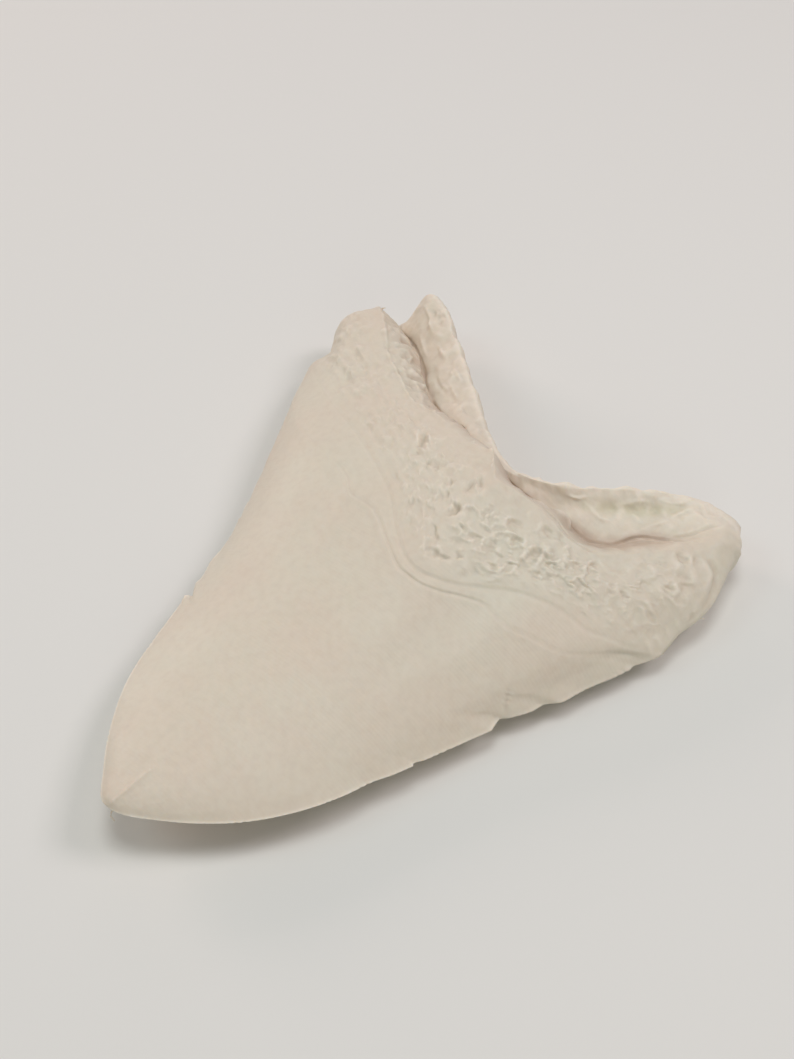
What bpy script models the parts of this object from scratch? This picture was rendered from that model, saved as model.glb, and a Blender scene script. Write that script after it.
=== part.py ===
"""A replica of a large fossil shark tooth, one solid piece, lying on its outer face with the inner face up.

Lengths are in millimetres here and become metres when the mesh is made. The drawing's zero is the point of
the tooth: x runs across it, y runs from the point towards the root, and z is the height above the surface
that it lies on. The finished mesh is moved so that its zero is the middle of its own footprint.
"""

import bpy
import numpy as np
from mathutils import Vector, noise

MM = 0.001

# Rows of the surface run from the point to the back of the root, and columns from the left edge to the right
# one. Rows crowd towards the point and columns towards the edges. A share of the triangles is kept.
ROWS = 190
COLUMNS = 150
POINT_CROWDING = 1.3
EDGE_CROWDING = 0.3
KEEP_SHARE = 0.086

# The two cutting edges, from the point to the shoulders, seen from above.
LEFT_EDGE = (
    (0, 0), (-5.6, 4), (-12.8, 12), (-20.6, 24.5), (-26.8, 43), (-31.9, 60),
    (-38.9, 77.5), (-47.8, 96), (-55.8, 113),
)
RIGHT_EDGE = (
    (0, 0), (7.6, 3.2), (14.9, 8.8), (20.8, 14.8), (27.5, 25.4), (33.3, 40),
    (38.4, 53.6), (42.9, 66), (49.6, 81.5), (55, 95),
)

# Chips and bites of the edges: distance y from the point, and how far the edge is set in there.
LEFT_WEAR = (
    (0, 0), (44, 0), (46.4, -0.3), (47.6, 1.4), (49, 0.6), (50.5, 0), (52, 0.3), (57, -0.2), (61, 0.3),
    (65.5, 0.5), (70, 0.2), (71.5, 0.5), (73, 0.1), (76, 0.3), (80, 0), (86.5, 0.3), (91, 0.1), (95.5, 0.3),
    (99, 0), (101.5, 0.5), (104, 0), (106, 0.3), (109, 0), (113, 0),
)
RIGHT_WEAR = (
    (0, 0), (30, 0), (37, 0.3), (41, -0.1), (44.6, -0.1), (45.4, 0.5), (47.5, 0.1), (56, 0), (61, -0.2),
    (62.5, 0.4), (64.8, 0.9), (67, 0), (70, -0.2), (73, 0.5), (76, -0.6), (79, -0.2), (82, 0.1), (88, -0.1),
    (91, 0), (92.5, 0.5), (95, 0),
)
WEAR_REACH = 14

# The edges rise from the shoulders to the point, because the blade curves up.
TIP_Z = 12.0
SHOULDER_Z = 5.0
EDGE_RISE_POWER = 2.4
EDGE_LENGTH = 105.0

# Height of the inner face's crest above the edges, by distance from the point, and depth of the outer face
# below them.
CREST_RISE = (
    (0, 0), (1, 1.4), (4, 2.8), (10, 4.4), (25, 7.4), (45, 11.6), (60, 14.6), (70.8, 17.2),
)
BELLY_DROP = (
    (0, 0), (1, 0.8), (4, 1.6), (10, 2.4), (25, 3.9), (45, 5.2), (60, 5.9), (75, 5.6), (100, 5.0),
)

# The two lines of the band where the blade meets the root, as places seen from above.
BAND_OUTER = (
    (-55.5, 113), (-48, 102), (-41, 95.5), (-34, 91), (-27.9, 88.4), (-18.9, 85.6), (-15.1, 83.8),
    (-10.5, 80.3), (-5.9, 80.2), (-2.4, 78.7), (3.7, 74.6), (10.8, 70.9), (14.2, 70.8), (19.1, 72.2),
    (22, 73.9), (27.9, 76.4), (32.3, 75.9), (37.8, 78), (43.2, 80.5), (47.9, 86.2), (51.1, 91.1), (55, 95),
)
BAND_INNER = (
    (-57, 117), (-47, 108.5), (-36, 101.5), (-25.3, 96.4), (-19.2, 93.4), (-14.2, 90.8), (-8.4, 87.4),
    (-3.3, 83.9), (1.1, 79.6), (5.2, 76.3), (9.4, 73.5), (12.6, 72.7), (17.7, 73.9), (23.7, 77.5),
    (28.5, 81.4), (34, 84.5), (39.7, 86.7), (43.7, 87.4), (48.3, 90.3), (51.9, 92.9), (56.5, 98.5),
)

# How fast the rows of the blade take on the bend of that band, from the point up.
BEND_POWER = 1.4

# Lines across the root, as x, y and height: the edge of its inner face, the ledge below that edge,
# the bottom of the groove, the far wall and the rim of the outer face.
RIDGE = (
    (-53.4, 136.6, 19.6), (-50.6, 135.6, 18.4), (-47.6, 133.2, 18.2), (-44.6, 130, 18.5),
    (-40.5, 126, 18.8), (-36.9, 122.5, 19.3),
    (-32.6, 118.6, 20), (-27.8, 115.7, 20.8), (-23, 112.4, 21.6), (-17.9, 109.7, 22.4), (-11.5, 109.1, 23.6),
    (-7.5, 107.9, 24.3), (-3.1, 106.1, 25), (1.8, 104.6, 26), (6.9, 104.4, 27.6), (10.3, 101, 28),
    (13, 98.1, 28), (16.4, 98.8, 27), (20.8, 99.5, 25.6), (25.8, 99.1, 24), (30.3, 98.9, 22.2),
    (35.4, 100.5, 20), (39, 104, 18.6), (43.1, 109.6, 17), (46.3, 114.2, 16.3), (50.1, 117.9, 15.6),
    (53.2, 123.8, 14.9), (55.6, 126.6, 14),
)
LEDGE = (
    (-51, 138.5, 11), (-46.5, 135.8, 14), (-40, 131, 16), (-34, 126, 17), (-27, 120.5, 17.8),
    (-20, 115.5, 18.8), (-14, 112.4, 20), (-7.5, 111, 21.8), (-1, 108.8, 23), (5, 107, 24.5), (10, 105, 24),
    (13.5, 103, 22.8), (16.6, 103.6, 21.5), (20.1, 104.3, 20), (25.5, 106.4, 18), (28.3, 105.3, 16.8),
    (33.3, 106.2, 15), (38.5, 111, 14.5), (45, 118, 14.6), (50, 122.5, 15),
    (53.5, 126.2, 14.9), (56.2, 129.2, 13.8),
)
GROOVE = (
    (-48, 139.8, 7.5), (-46, 138.6, 8), (-41, 135.9, 10), (-35.7, 132.2, 12), (-31, 128.4, 12.5),
    (-25.8, 123.1, 13.5), (-21.8, 120.1, 14.5), (-16.7, 115.8, 16), (-12.9, 114.6, 17), (-7.4, 113.4, 18),
    (-3.3, 110.5, 19), (1.9, 108.8, 19.5), (8, 107, 18.5), (15, 106.8, 16.5), (20.5, 107.5, 15),
    (25, 108.3, 13.8), (30, 108.3, 12.8), (34.8, 110.7, 12.5), (38.1, 116.4, 12.5), (41.8, 118.8, 12.5),
    (45.6, 120.9, 13), (48.6, 123.6, 14.1), (52, 127.4, 14.7), (54.8, 130.3, 13.6),
)
FAR_WALL = (
    (-47.5, 143.5, 12), (-43, 141.6, 14.4), (-36, 138, 15.6), (-28.5, 132, 16), (-19, 123.5, 17),
    (-9, 116, 18.6), (1, 110.5, 19.6), (8, 108.3, 19.6), (15, 109.5, 18.2), (22, 112.5, 16.4),
    (29, 116.5, 14.8), (35, 122, 14), (41, 126.3, 13.9), (46, 128.3, 14.1), (50, 129.8, 14.5),
    (54.5, 131.5, 13.4),
)
RIM = (
    (-47.5, 147, 16.8), (-44, 146.3, 18), (-37.5, 143.6, 18.2), (-28.6, 136.9, 18), (-16.5, 127.3, 18),
    (-4, 116.8, 18.5), (5, 110.6, 19.5), (10.5, 109.2, 19.5), (19, 112.2, 18.9), (32, 124, 16.6),
    (41, 130.6, 15), (47, 132.6, 13.4), (51, 132.4, 12.8), (53.6, 132, 12.2),
)
BACK = (
    (-46, 149.5), (-39.5, 147.6), (-28.5, 139.7), (-16.5, 129.9), (-4, 119.5), (5, 113.3), (10.5, 112),
    (18, 114.5), (32, 127), (41, 133.4), (47.5, 136), (52, 136),
)

# Where the root's sides pull in behind the shoulders and swell into the lobes, left and right, and how much
# fuller the face is there: everywhere, and more at the left lobe.
NECK_ENDS = ((-54.8, 121), (56.6, 103.4))
LOBE_ENDS = ((-59.6, 130.2), (58.2, 113))
NECK_SHARE = 0.25
LOBE_SHARE = 0.62
SIDE_REACH = 6
SMOOTH_REACH = 0.1
FACE_SWELL = 0.8
LEFT_FULLNESS = 2.1
ROOT_SIDE_Z = 9.0

# How far along the surface each line lies, from 0 at the point to 1 at the back.
BAND_OUTER_AT = 0.50
BAND_INNER_AT = 0.53
NECK_AT = 0.585
LOBE_AT = 0.67
RIDGE_AT = 0.745
LEDGE_AT = 0.79
GROOVE_AT = 0.84
FAR_WALL_AT = 0.90
RIM_AT = 0.955

# The pits of the root's inner face: x, y, half length, half width, turn away from the y axis in degrees,
# and depth.
PITS = (
    (-8, 99.5, 2.1, 0.8, -25, 0.8), (-7, 96.5, 0.8, 0.8, 0, 0.5), (-2.5, 94.5, 0.7, 0.7, 0, 0.4),
    (-0.5, 95, 0.7, 0.7, 0, 0.6), (5.5, 92.5, 1.2, 1, -10, 0.5), (7, 89.5, 1.4, 1, -35, 0.4),
    (9.5, 93.5, 1.4, 0.9, -25, 0.5), (10, 96, 1.1, 0.7, -85, 0.5), (10.5, 88, 1.1, 0.8, 0, 1),
    (10, 86.5, 1.1, 0.7, 30, 0.5), (10, 81.5, 1.2, 0.6, -55, 0.8), (11.5, 80, 1.1, 0.6, -60, 0.6),
    (14.5, 85, 0.8, 0.6, 90, 0.7), (17.5, 85, 1.1, 0.8, 30, 0.8), (21, 86, 1, 0.9, 0, 0.5),
    (11.5, 77, 0.8, 0.6, 55, 0.5), (13.5, 77.5, 1, 0.7, 85, 0.7), (15.5, 78, 1.2, 0.6, 40, 0.8),
    (17.5, 80.5, 0.8, 0.6, 45, 0.6), (21.5, 93, 2.2, 1.5, 0, 0.6), (24, 90.5, 1.5, 0.8, 0, 0.6),
    (28.5, 90.5, 2.3, 1, 0, 0.8), (31, 91.5, 2.1, 1, 0, 0.8), (28, 87, 1.8, 0.9, 0, 0.5),
    (31.5, 88, 1.1, 0.8, 15, 0.5), (33.5, 90, 1.1, 0.7, 15, 0.5), (27.5, 96.5, 1.1, 0.8, -5, 0.6),
    (30, 97.5, 1.1, 0.8, -65, 0.6), (35, 93.5, 1, 0.8, 0, 0.6), (35.5, 95.5, 0.9, 0.7, 20, 0.5),
    (37.5, 97.5, 2.2, 0.8, 0, 0.7), (40, 93.5, 0.9, 0.7, 5, 0.6), (43, 98, 0.8, 0.7, -30, 0.6),
    (45.5, 98.5, 1, 0.7, -60, 0.7), (45, 107.5, 2, 1, 5, 0.4), (47.5, 103, 1.8, 1.1, 5, 0.4),
    (47, 110.5, 1, 0.8, -35, 0.5), (49, 114.5, 1, 0.9, -25, 0.7), (51.5, 116.5, 1, 0.8, -25, 0.5),
    (52.5, 110.5, 1.4, 0.9, -5, 0.4), (51, 107, 0.9, 0.7, 0, 0.4), (-41.5, 117, 2.5, 0.7, -60, 0.3),
    (-37, 114, 2, 0.7, -55, 0.25), (-36.5, 122.5, 1.5, 1, -60, 0.6), (-28.5, 116.5, 1.3, 1.2, -80, 0.7),
    (-32.5, 123.5, 1.5, 1, -10, 0.6), (-25.5, 119.5, 1, 1, 0, 0.6), (-36, 141, 2.5, 0.7, -60, 0.5),
)

# How much of a pit's depth stands up around it as a low rim.
PIT_RIM = 0.6

# Small forms that follow lines: depth or height, half width, and for the shoulder of the right lobe its plan,
# its drop, and the lengths over which the drop comes in across the line and at the line's two ends.
BAND_GROOVE = (0.35, 0.8)
BAND_LIP = (0.15, 0.9)
INNER_GROOVE = (0.22, 1.2)
LOBE_CREASE = ((52.5, 121), (55, 118.8), (56.2, 116), (57, 112.5), (56.8, 109), (56, 105.5))
LOBE_CREASE_DROP = 1.1
LOBE_CREASE_WIDTH = 0.8
LOBE_CREASE_FADE = 4.0
TIP_RIDGE = ((1, 1), (1.6, 4), (2.1, 9.5))
TIP_RIDGE_FORM = (0.35, 0.7)

# Lumps: height and width over the whole root, and in the ragged strip beside the groove of the left lobe,
# with how tightly the strip keeps to the ledge and how far from the middle it is at full height.
ROOT_LUMPS = (0.3, 6.0)
RAGGED_LUMPS = (0.9, 3.2)
RAGGED_TIGHTNESS = 2.0
RAGGED_FROM = 15.0

# Powers of the cross section: a lens in the blade, a slab with round sides in the root.
TIP_POWERS = (1.9, 1.08)
BAND_POWERS = (2.3, 0.88)
ROOT_POWERS = (12.0, 0.5)
LOBE_POWERS = (20.0, 0.5)
BELLY_POWERS = (2.0, 1.0)
INLAND_POWERS = (8.0, 1.0)
SIDE_POWERS = (40.0, 1.0)
BACK_ROUNDING = 8.0

# Points this near the surface below are laid on it, so that the tooth rests on flat facets.
FLAT_WITHIN = 0.02

# The outer face of the root: hollow in the middle, flat where the two lobes touch the surface below.
ARCH_Z = 1.6
ARCH_HALF_WIDTH = 0.55


def through(xs, ys, x):
    """A smooth curve through the points (xs, ys) that never overshoots them, read at x."""
    xs = np.asarray(xs, float)
    ys = np.asarray(ys, float)
    ys = ys.reshape(len(xs), -1)
    x = np.clip(np.asarray(x, float), xs[0], xs[-1])
    steps = np.diff(xs)[:, None]
    slopes = np.diff(ys, axis=0) / steps
    tangents = np.zeros_like(ys)
    tangents[0] = slopes[0]
    tangents[-1] = slopes[-1]
    before, after = slopes[:-1], slopes[1:]
    same_way = before * after > 0
    total = np.where(same_way, before + after, 1.0)
    tangents[1:-1] = np.where(same_way, 2 * before * after / total, 0.0)
    i = np.clip(np.searchsorted(xs, x, side="right") - 1, 0, len(xs) - 2)
    h = steps[i]
    u = ((x - xs[i])[:, None]) / h
    return (
        (1 + 2 * u) * (1 - u) ** 2 * ys[i]
        + u * (1 - u) ** 2 * h * tangents[i]
        + u**2 * (3 - 2 * u) * ys[i + 1]
        + u**2 * (u - 1) * h * tangents[i + 1]
    )


def across():
    """Places from the left edge, -1, to the right edge, 1, closer together near the edges."""
    s = np.linspace(-1, 1, COLUMNS + 1)
    return s * (1 + EDGE_CROWDING) - EDGE_CROWDING * s**3


def cross_section(powers, places):
    """Height across the tooth, from 0 at its two edges to 1 in the middle."""
    return (1 - np.abs(places) ** powers[0]) ** powers[1]


def edge_height(distance):
    """Height of the cutting edges at a distance from the point."""
    left = np.clip(1 - distance / EDGE_LENGTH, 0, 1)
    return SHOULDER_Z + (TIP_Z - SHOULDER_Z) * left**EDGE_RISE_POWER


def edge_x(edge, y):
    """The edge's x at a distance y from the point, which is round, so the points are joined over root y."""
    points = np.array(edge, float)
    return through(np.sqrt(points[:, 1]), points[:, 0], [np.sqrt(y)])[0, 0]


def set_in(wear, y):
    """How far chips and bites set an edge in at a distance from the point."""
    return through(*np.array(wear, float).T, [y])[0, 0]


def line(points, places):
    """A crossing line's x, y and, where it has them, heights, read at the places from side to side."""
    points = np.array(points, float)
    low, high = points[0, 0], points[-1, 0]
    x = low + (high - low) * (1 + places) / 2
    return np.column_stack([x, through(points[:, 0], points[:, 1:], x)])


def smoothed(row, reach):
    """A crossing line with its bends evened out over a share of its length, and its ends in place."""
    width = max(1, round(2 * reach * len(row)))
    weights = np.hanning(2 * width + 1)
    weights = weights / weights.sum()
    padded = np.pad(row, ((width, width), (0, 0)), mode="reflect", reflect_type="odd")
    return np.column_stack([np.convolve(values, weights, mode="valid") for values in padded.T])


def blade_row(share, places):
    """x, y and height across the blade at a share of its length, bent more and more like the band."""
    outer = line(BAND_OUTER, places)
    left_y = LEFT_EDGE[-1][1] * share
    right_y = RIGHT_EDGE[-1][1] * share
    left_x = edge_x(LEFT_EDGE, left_y)
    right_x = edge_x(RIGHT_EDGE, right_y)
    part = (1 + places) / 2
    bend = outer[:, 1] - (LEFT_EDGE[-1][1] * (1 - part) + RIGHT_EDGE[-1][1] * part)
    x = left_x + (right_x - left_x) * part
    y = left_y + (right_y - left_y) * part + bend * share**BEND_POWER
    x = x + set_in(LEFT_WEAR, left_y) * np.clip(-places, 0, 1) ** WEAR_REACH
    x = x - set_in(RIGHT_WEAR, right_y) * np.clip(places, 0, 1) ** WEAR_REACH
    rise = through(*np.array(CREST_RISE, float).T, [y.min()])[0, 0]
    side = edge_height(left_y) * (1 - part) + edge_height(right_y) * part
    powers = np.array(TIP_POWERS) * (1 - share) + np.array(BAND_POWERS) * share
    return np.column_stack([x, y, side + rise * cross_section(powers, places)])


def root_lines(places):
    """The crossing lines from the band to the rim, and how far along the surface each one lies."""
    lobes = cross_section(LOBE_POWERS, places)
    slab = cross_section(ROOT_POWERS, places)
    outer = blade_row(1.0, places)
    ridge, ledge, groove = (line(points, places) for points in (RIDGE, LEDGE, GROOVE))
    far_wall, rim = (line(points, places) for points in (FAR_WALL, RIM))
    for row in (ridge, ledge, groove, far_wall, rim):
        row[:, 2] = ROOT_SIDE_Z + (row[:, 2] - ROOT_SIDE_Z) * lobes
    inner = line(BAND_INNER, places)
    to_inner = np.hypot(*(inner - outer[:, :2]).T)
    to_ridge = np.hypot(*(ridge[:, :2] - inner).T)
    climbed = to_inner / (to_inner + to_ridge)
    inner = np.column_stack([inner, outer[:, 2] + (ridge[:, 2] - outer[:, 2]) * climbed])

    def between(share, ends):
        row = inner * (1 - share) + smoothed(ridge, SMOOTH_REACH * (1 - share)) * share
        full = FACE_SWELL + LEFT_FULLNESS * np.clip(-places, 0, 1) ** SIDE_REACH
        row[:, 2] += full * np.sin(np.pi * share) * slab
        for end, side in zip(ends, (-1, 1)):
            here = row[0 if side < 0 else -1, :2]
            row[:, :2] += (np.array(end) - here) * (np.clip(places * side, 0, 1) ** SIDE_REACH)[:, None]
        return row

    neck = between(NECK_SHARE, NECK_ENDS)
    lobe = between(LOBE_SHARE, LOBE_ENDS)
    face = np.stack([outer, inner, neck, lobe, ridge])
    near_wall = np.stack([ridge, ledge, groove])
    far_side = np.stack([groove, far_wall, rim])
    return (
        ((BAND_OUTER_AT, BAND_INNER_AT, NECK_AT, LOBE_AT, RIDGE_AT), face),
        ((RIDGE_AT, LEDGE_AT, GROOVE_AT), near_wall),
        ((GROOVE_AT, FAR_WALL_AT, RIM_AT), far_side),
    )


def top_surface(places):
    """The upper surface as x, y and height on the grid of rows and columns."""
    stretches = root_lines(places)
    rim = stretches[-1][1][-1]
    back = line(BACK, places)
    rows = []
    for at in np.linspace(0, 1, ROWS + 1):
        if at < BAND_OUTER_AT:
            rows.append(blade_row((at / BAND_OUTER_AT) ** POINT_CROWDING, places))
            continue
        if at > RIM_AT:
            turn = (at - RIM_AT) / (1 - RIM_AT) * np.pi / 2
            plan = rim[:, :2] + (back - rim[:, :2]) * np.sin(turn)
            height = ROOT_SIDE_Z + (rim[:, 2] - ROOT_SIDE_Z) * np.cos(turn)
            rows.append(np.column_stack([plan, height]))
            continue
        for places_at, lines in stretches:
            if at <= places_at[-1]:
                rows.append(through(places_at, lines.reshape(len(lines), -1), [at])[0].reshape(-1, 3))
                break
    return np.stack(rows)


def bottom_heights(top, places):
    """Heights of the lower surface: the blade's belly, the root's outer face and the rounding at the back."""
    belly = cross_section(BELLY_POWERS, places)
    slab = cross_section(ROOT_POWERS, places)
    arch = ARCH_Z * (1 - (places / ARCH_HALF_WIDTH) ** 2)
    bottom = np.zeros(top.shape[:2])
    for i, at in enumerate(np.linspace(0, 1, ROWS + 1)):
        x, y, z = top[i].T
        root = np.clip((at - BAND_OUTER_AT) / (RIDGE_AT - BAND_OUTER_AT), 0, 1)
        root = root * root * (3 - 2 * root)
        shape = belly * (1 - root) + slab * root
        inwards = np.clip(np.hypot(x - top[-1, :, 0], y - top[-1, :, 1]) / BACK_ROUNDING, 0, 1)
        shape = shape * np.sqrt(1 - (1 - inwards) ** 2)
        side = (z[0] * (1 - places) + z[-1] * (1 + places)) / 2
        drop = through(*np.array(BELLY_DROP, float).T, y)[:, 0]
        face = (side - drop) * (1 - root) + arch * root
        bottom[i] = side - (side - face) * shape
    return np.maximum(bottom, 0)


def distance_to(points, x, y):
    """Distance from each x and y to the nearest place on a line of points."""
    points = np.array(points, float)[:, :2]
    nearest = np.full(x.shape, np.inf)
    for (ax, ay), (bx, by) in zip(points[:-1], points[1:]):
        dx, dy = bx - ax, by - ay
        along = np.clip(((x - ax) * dx + (y - ay) * dy) / (dx * dx + dy * dy), 0, 1)
        nearest = np.minimum(nearest, np.hypot(x - ax - along * dx, y - ay - along * dy))
    return nearest


def bump(distance, height, half_width):
    """A rounded rise of the given height and half width, by distance from its middle."""
    return height * np.exp(-((distance / half_width) ** 2))


def pitted(x, y):
    """Depth of the pits, each an oval hollow with a low rim."""
    depth = np.zeros_like(x)
    for px, py, half_length, half_width, turn, deep in PITS:
        c, s = np.cos(np.radians(turn)), np.sin(np.radians(turn))
        along = ((x - px) * s + (y - py) * c) / half_length
        over = ((x - px) * c - (y - py) * s) / half_width
        apart = along**2 + over**2
        depth += deep * (1 - PIT_RIM * apart) * np.exp(-apart)
    return depth


def lumps(x, y, size, seed):
    """Smooth noise between -1 and 1 with lumps of the given size."""
    spots = np.column_stack([x.ravel() / size, y.ravel() / size, np.full(x.size, float(seed))])
    return np.array([noise.noise(Vector(spot)) for spot in spots]).reshape(x.shape)


def relief(top, places):
    """Height of the upper surface's small forms: band, tip's ridge, pits, lumps and the lobe's shoulder."""
    x, y = top[:, :, 0], top[:, :, 1]
    at = np.linspace(0, 1, ROWS + 1)[:, None]
    inland = cross_section(INLAND_POWERS, places)
    from_outer = distance_to(line(BAND_OUTER, places), x, y)
    from_inner = distance_to(line(BAND_INNER, places), x, y)
    form = np.where(at < BAND_OUTER_AT, bump(from_outer - BAND_LIP[1], *BAND_LIP), 0)
    form = form - bump(from_outer, *BAND_GROOVE) - bump(from_inner, *INNER_GROOVE)
    form = form + bump(distance_to(TIP_RIDGE, x, y), *TIP_RIDGE_FORM)
    rooted = np.clip((at - NECK_AT) / (LOBE_AT - NECK_AT), 0, 1)
    form = form - pitted(x, y) + rooted * ROOT_LUMPS[0] * lumps(x, y, ROOT_LUMPS[1], 1)
    from_ledge = (at - LEDGE_AT) / (GROOVE_AT - LEDGE_AT)
    ragged = np.exp(-RAGGED_TIGHTNESS * from_ledge**2) * np.clip(-x / RAGGED_FROM, 0, 1)
    form = form + ragged * RAGGED_LUMPS[0] * lumps(x, y, RAGGED_LUMPS[1], 2)
    crease_x, crease_y = np.array(LOBE_CREASE, float)[::-1].T
    beyond = np.clip((x - np.interp(y, crease_y, crease_x)) / LOBE_CREASE_WIDTH, 0, 1)
    from_end = np.clip(np.minimum(y - crease_y[0], crease_y[-1] - y) / LOBE_CREASE_FADE, 0, 1)
    drop = LOBE_CREASE_DROP * beyond * from_end
    return form * inland - drop * cross_section(SIDE_POWERS, places)


def surfaces():
    """x, y, upper height and lower height on the grid of rows and columns."""
    places = across()
    top = top_surface(places)
    top[:, :, 2] += relief(top, places)
    return top[:, :, 0], top[:, :, 1], top[:, :, 2], bottom_heights(top, places)


def mesh_of(x, y, top, bottom):
    """Points and faces of the closed surface: the point, the upper grid and the inside of the lower one."""
    rows, columns = x.shape[0] - 1, x.shape[1] - 1
    upper = np.zeros((rows + 1, columns + 1), int)
    upper[1:] = 1 + np.arange(rows * (columns + 1)).reshape(rows, columns + 1)
    lower = upper.copy()
    inside = (rows - 1) * (columns - 1)
    lower[1:-1, 1:-1] = upper.max() + 1 + np.arange(inside).reshape(rows - 1, columns - 1)
    over = np.column_stack([x[1:].ravel(), y[1:].ravel(), top[1:].ravel()])
    inner = (slice(1, -1), slice(1, -1))
    under = np.column_stack([x[inner].ravel(), y[inner].ravel(), bottom[inner].ravel()])
    points = np.vstack([[x[0, 0], y[0, 0], top[0, 0]], over, under])
    faces = []
    for j in range(columns):
        faces.append((0, upper[1, j + 1], upper[1, j]))
        faces.append((0, lower[1, j], lower[1, j + 1]))
        for i in range(1, rows):
            faces.append((upper[i, j], upper[i, j + 1], upper[i + 1, j + 1], upper[i + 1, j]))
            faces.append((lower[i, j], lower[i + 1, j], lower[i + 1, j + 1], lower[i, j + 1]))
    return points, faces


def ivory():
    """The one material of the piece: a warm ivory plastic with a satin sheen."""
    material = bpy.data.materials.new("ivory_plastic")
    material.use_nodes = True
    shader = material.node_tree.nodes["Principled BSDF"]
    shader.inputs["Base Color"].default_value = (0.64, 0.56, 0.45, 1)
    shader.inputs["Roughness"].default_value = 0.55
    shader.inputs["Metallic"].default_value = 0
    return material


def tooth():
    """The whole tooth as one closed mesh, thinned to fewer triangles and laid flat where it touches."""
    points, faces = mesh_of(*surfaces())
    low, high = points.min(axis=0), points.max(axis=0)
    points = points - [(low[0] + high[0]) / 2, (low[1] + high[1]) / 2, 0]
    mesh = bpy.data.meshes.new("tooth")
    mesh.from_pydata((points * MM).tolist(), [], [tuple(int(v) for v in face) for face in faces])
    mesh.validate()
    mesh.materials.append(ivory())
    made = bpy.data.objects.new("tooth", mesh)
    bpy.context.scene.collection.objects.link(made)
    mesh.shade_smooth()
    fewer = made.modifiers.new("fewer_triangles", "DECIMATE")
    fewer.ratio = KEEP_SHARE
    graph = bpy.context.evaluated_depsgraph_get()
    coarse = bpy.data.meshes.new_from_object(made.evaluated_get(graph))
    made.modifiers.remove(fewer)
    made.data = coarse
    bpy.data.meshes.remove(mesh)
    coarse.name = "tooth"
    for vertex in coarse.vertices:
        if vertex.co.z < FLAT_WITHIN * MM:
            vertex.co.z = 0
    return made


def main():
    """Empties the scene and makes the tooth."""
    for old in list(bpy.data.objects):
        bpy.data.objects.remove(old, do_unlink=True)
    tooth()


if __name__ == "__main__":
    main()
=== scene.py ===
"""The looks of a shark tooth replica: its fine surface, its printed plastic and the stage that it lies on.

The tooth is drawn in millimetres from its own point: x across it, y towards the root and z up. Everything
that is handed to Blender is in metres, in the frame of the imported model.
"""

import math

import bpy
import numpy as np
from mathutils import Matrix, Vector, noise


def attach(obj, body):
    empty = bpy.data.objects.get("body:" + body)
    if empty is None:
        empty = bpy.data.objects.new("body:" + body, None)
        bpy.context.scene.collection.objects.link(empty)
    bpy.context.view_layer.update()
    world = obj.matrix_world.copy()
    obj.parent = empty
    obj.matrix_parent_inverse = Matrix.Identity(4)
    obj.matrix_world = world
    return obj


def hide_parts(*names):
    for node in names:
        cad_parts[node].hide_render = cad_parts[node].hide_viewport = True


bl_info = {
    "name": "Shark tooth replica",
    "version": (1, 0, 0),
    "blender": (4, 5, 0),
    "location": "3D View > Sidebar > Tooth",
    "description": "Makes the fine surface, the printed plastic and the stage of a shark tooth replica",
    "category": "Object",
}

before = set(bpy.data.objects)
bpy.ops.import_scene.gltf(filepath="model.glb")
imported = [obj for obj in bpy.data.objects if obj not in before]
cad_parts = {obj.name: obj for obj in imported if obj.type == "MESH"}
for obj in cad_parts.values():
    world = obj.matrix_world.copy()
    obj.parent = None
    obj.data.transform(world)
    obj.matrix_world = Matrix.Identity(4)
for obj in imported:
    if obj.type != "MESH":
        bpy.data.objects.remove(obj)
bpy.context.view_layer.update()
MM = 0.001

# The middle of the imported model's footprint, as a place of this drawing.
MIDDLE = (-0.7, 74.75, 0)

# The grid of the surface: its rows from the point to the band, its rows from the band to the back of the
# root, and its columns from side to side. Inside the blade and on the underside only some are used, given as
# the steps between rows and between columns, because only the edges need them all. The last columns beside
# the edges are all used too. Rows crowd towards the point and columns towards the edges.
BLADE_ROWS = 450
ROOT_ROWS = 240
COLUMNS = 264
BLADE_STEPS = (3, 2)
UNDER_BLADE_STEPS = (9, 4)
UNDER_ROOT_STEPS = (5, 4)
EDGE_COLUMNS = 2
POINT_CROWDING = 1.3
EDGE_CROWDING = 0.12

# The two cutting edges, from the point to the shoulders, seen from above.
LEFT_EDGE = (
    (0, 0), (-5.6, 4), (-12.8, 12), (-20.6, 24.5), (-26.8, 43), (-31.9, 60),
    (-38.9, 77.5), (-47.8, 96), (-55.8, 113),
)
RIGHT_EDGE = (
    (0, 0), (7.6, 3.2), (14.9, 8.8), (20.8, 14.8), (27.5, 25.4), (33.3, 40),
    (38.4, 53.6), (42.9, 66), (49.6, 81.5), (55, 95),
)

# Chips and bites of the edges: distance y from the point, and how far the edge is set in there.
LEFT_WEAR = (
    (0, 0), (44, 0), (46.4, -0.3), (47.6, 1.7), (49, 0.6), (50.5, 0), (52, 0.3), (57, -0.2), (61, 0.3),
    (65.5, 0.5), (70, 0.2), (71.5, 0.5), (73, 0.1), (76, 0.3), (80, 0), (86.5, 0.3), (91, 0.1), (95.5, 0.3),
    (99, 0), (101.5, 0.5), (104, 0), (106, 0.3), (109, 0), (113, 0),
)
RIGHT_WEAR = (
    (0, 0), (30, 0), (37, 0.3), (41, -0.1), (44.6, -0.1), (45.4, 0.5), (47.5, 0.1), (56, 0), (61, -0.2),
    (62.5, 0.5), (64.8, 1.5), (66.2, 0.7), (70, 0.1), (73, 0.5), (76, -0.6), (79, -0.2), (82, 0.1),
    (88, -0.1), (91, 0), (92.5, 0.5), (95, 0),
)

# The higher this power, the less of the blade beside the edge moves in with a chip.
WEAR_POWER = 14

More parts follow.
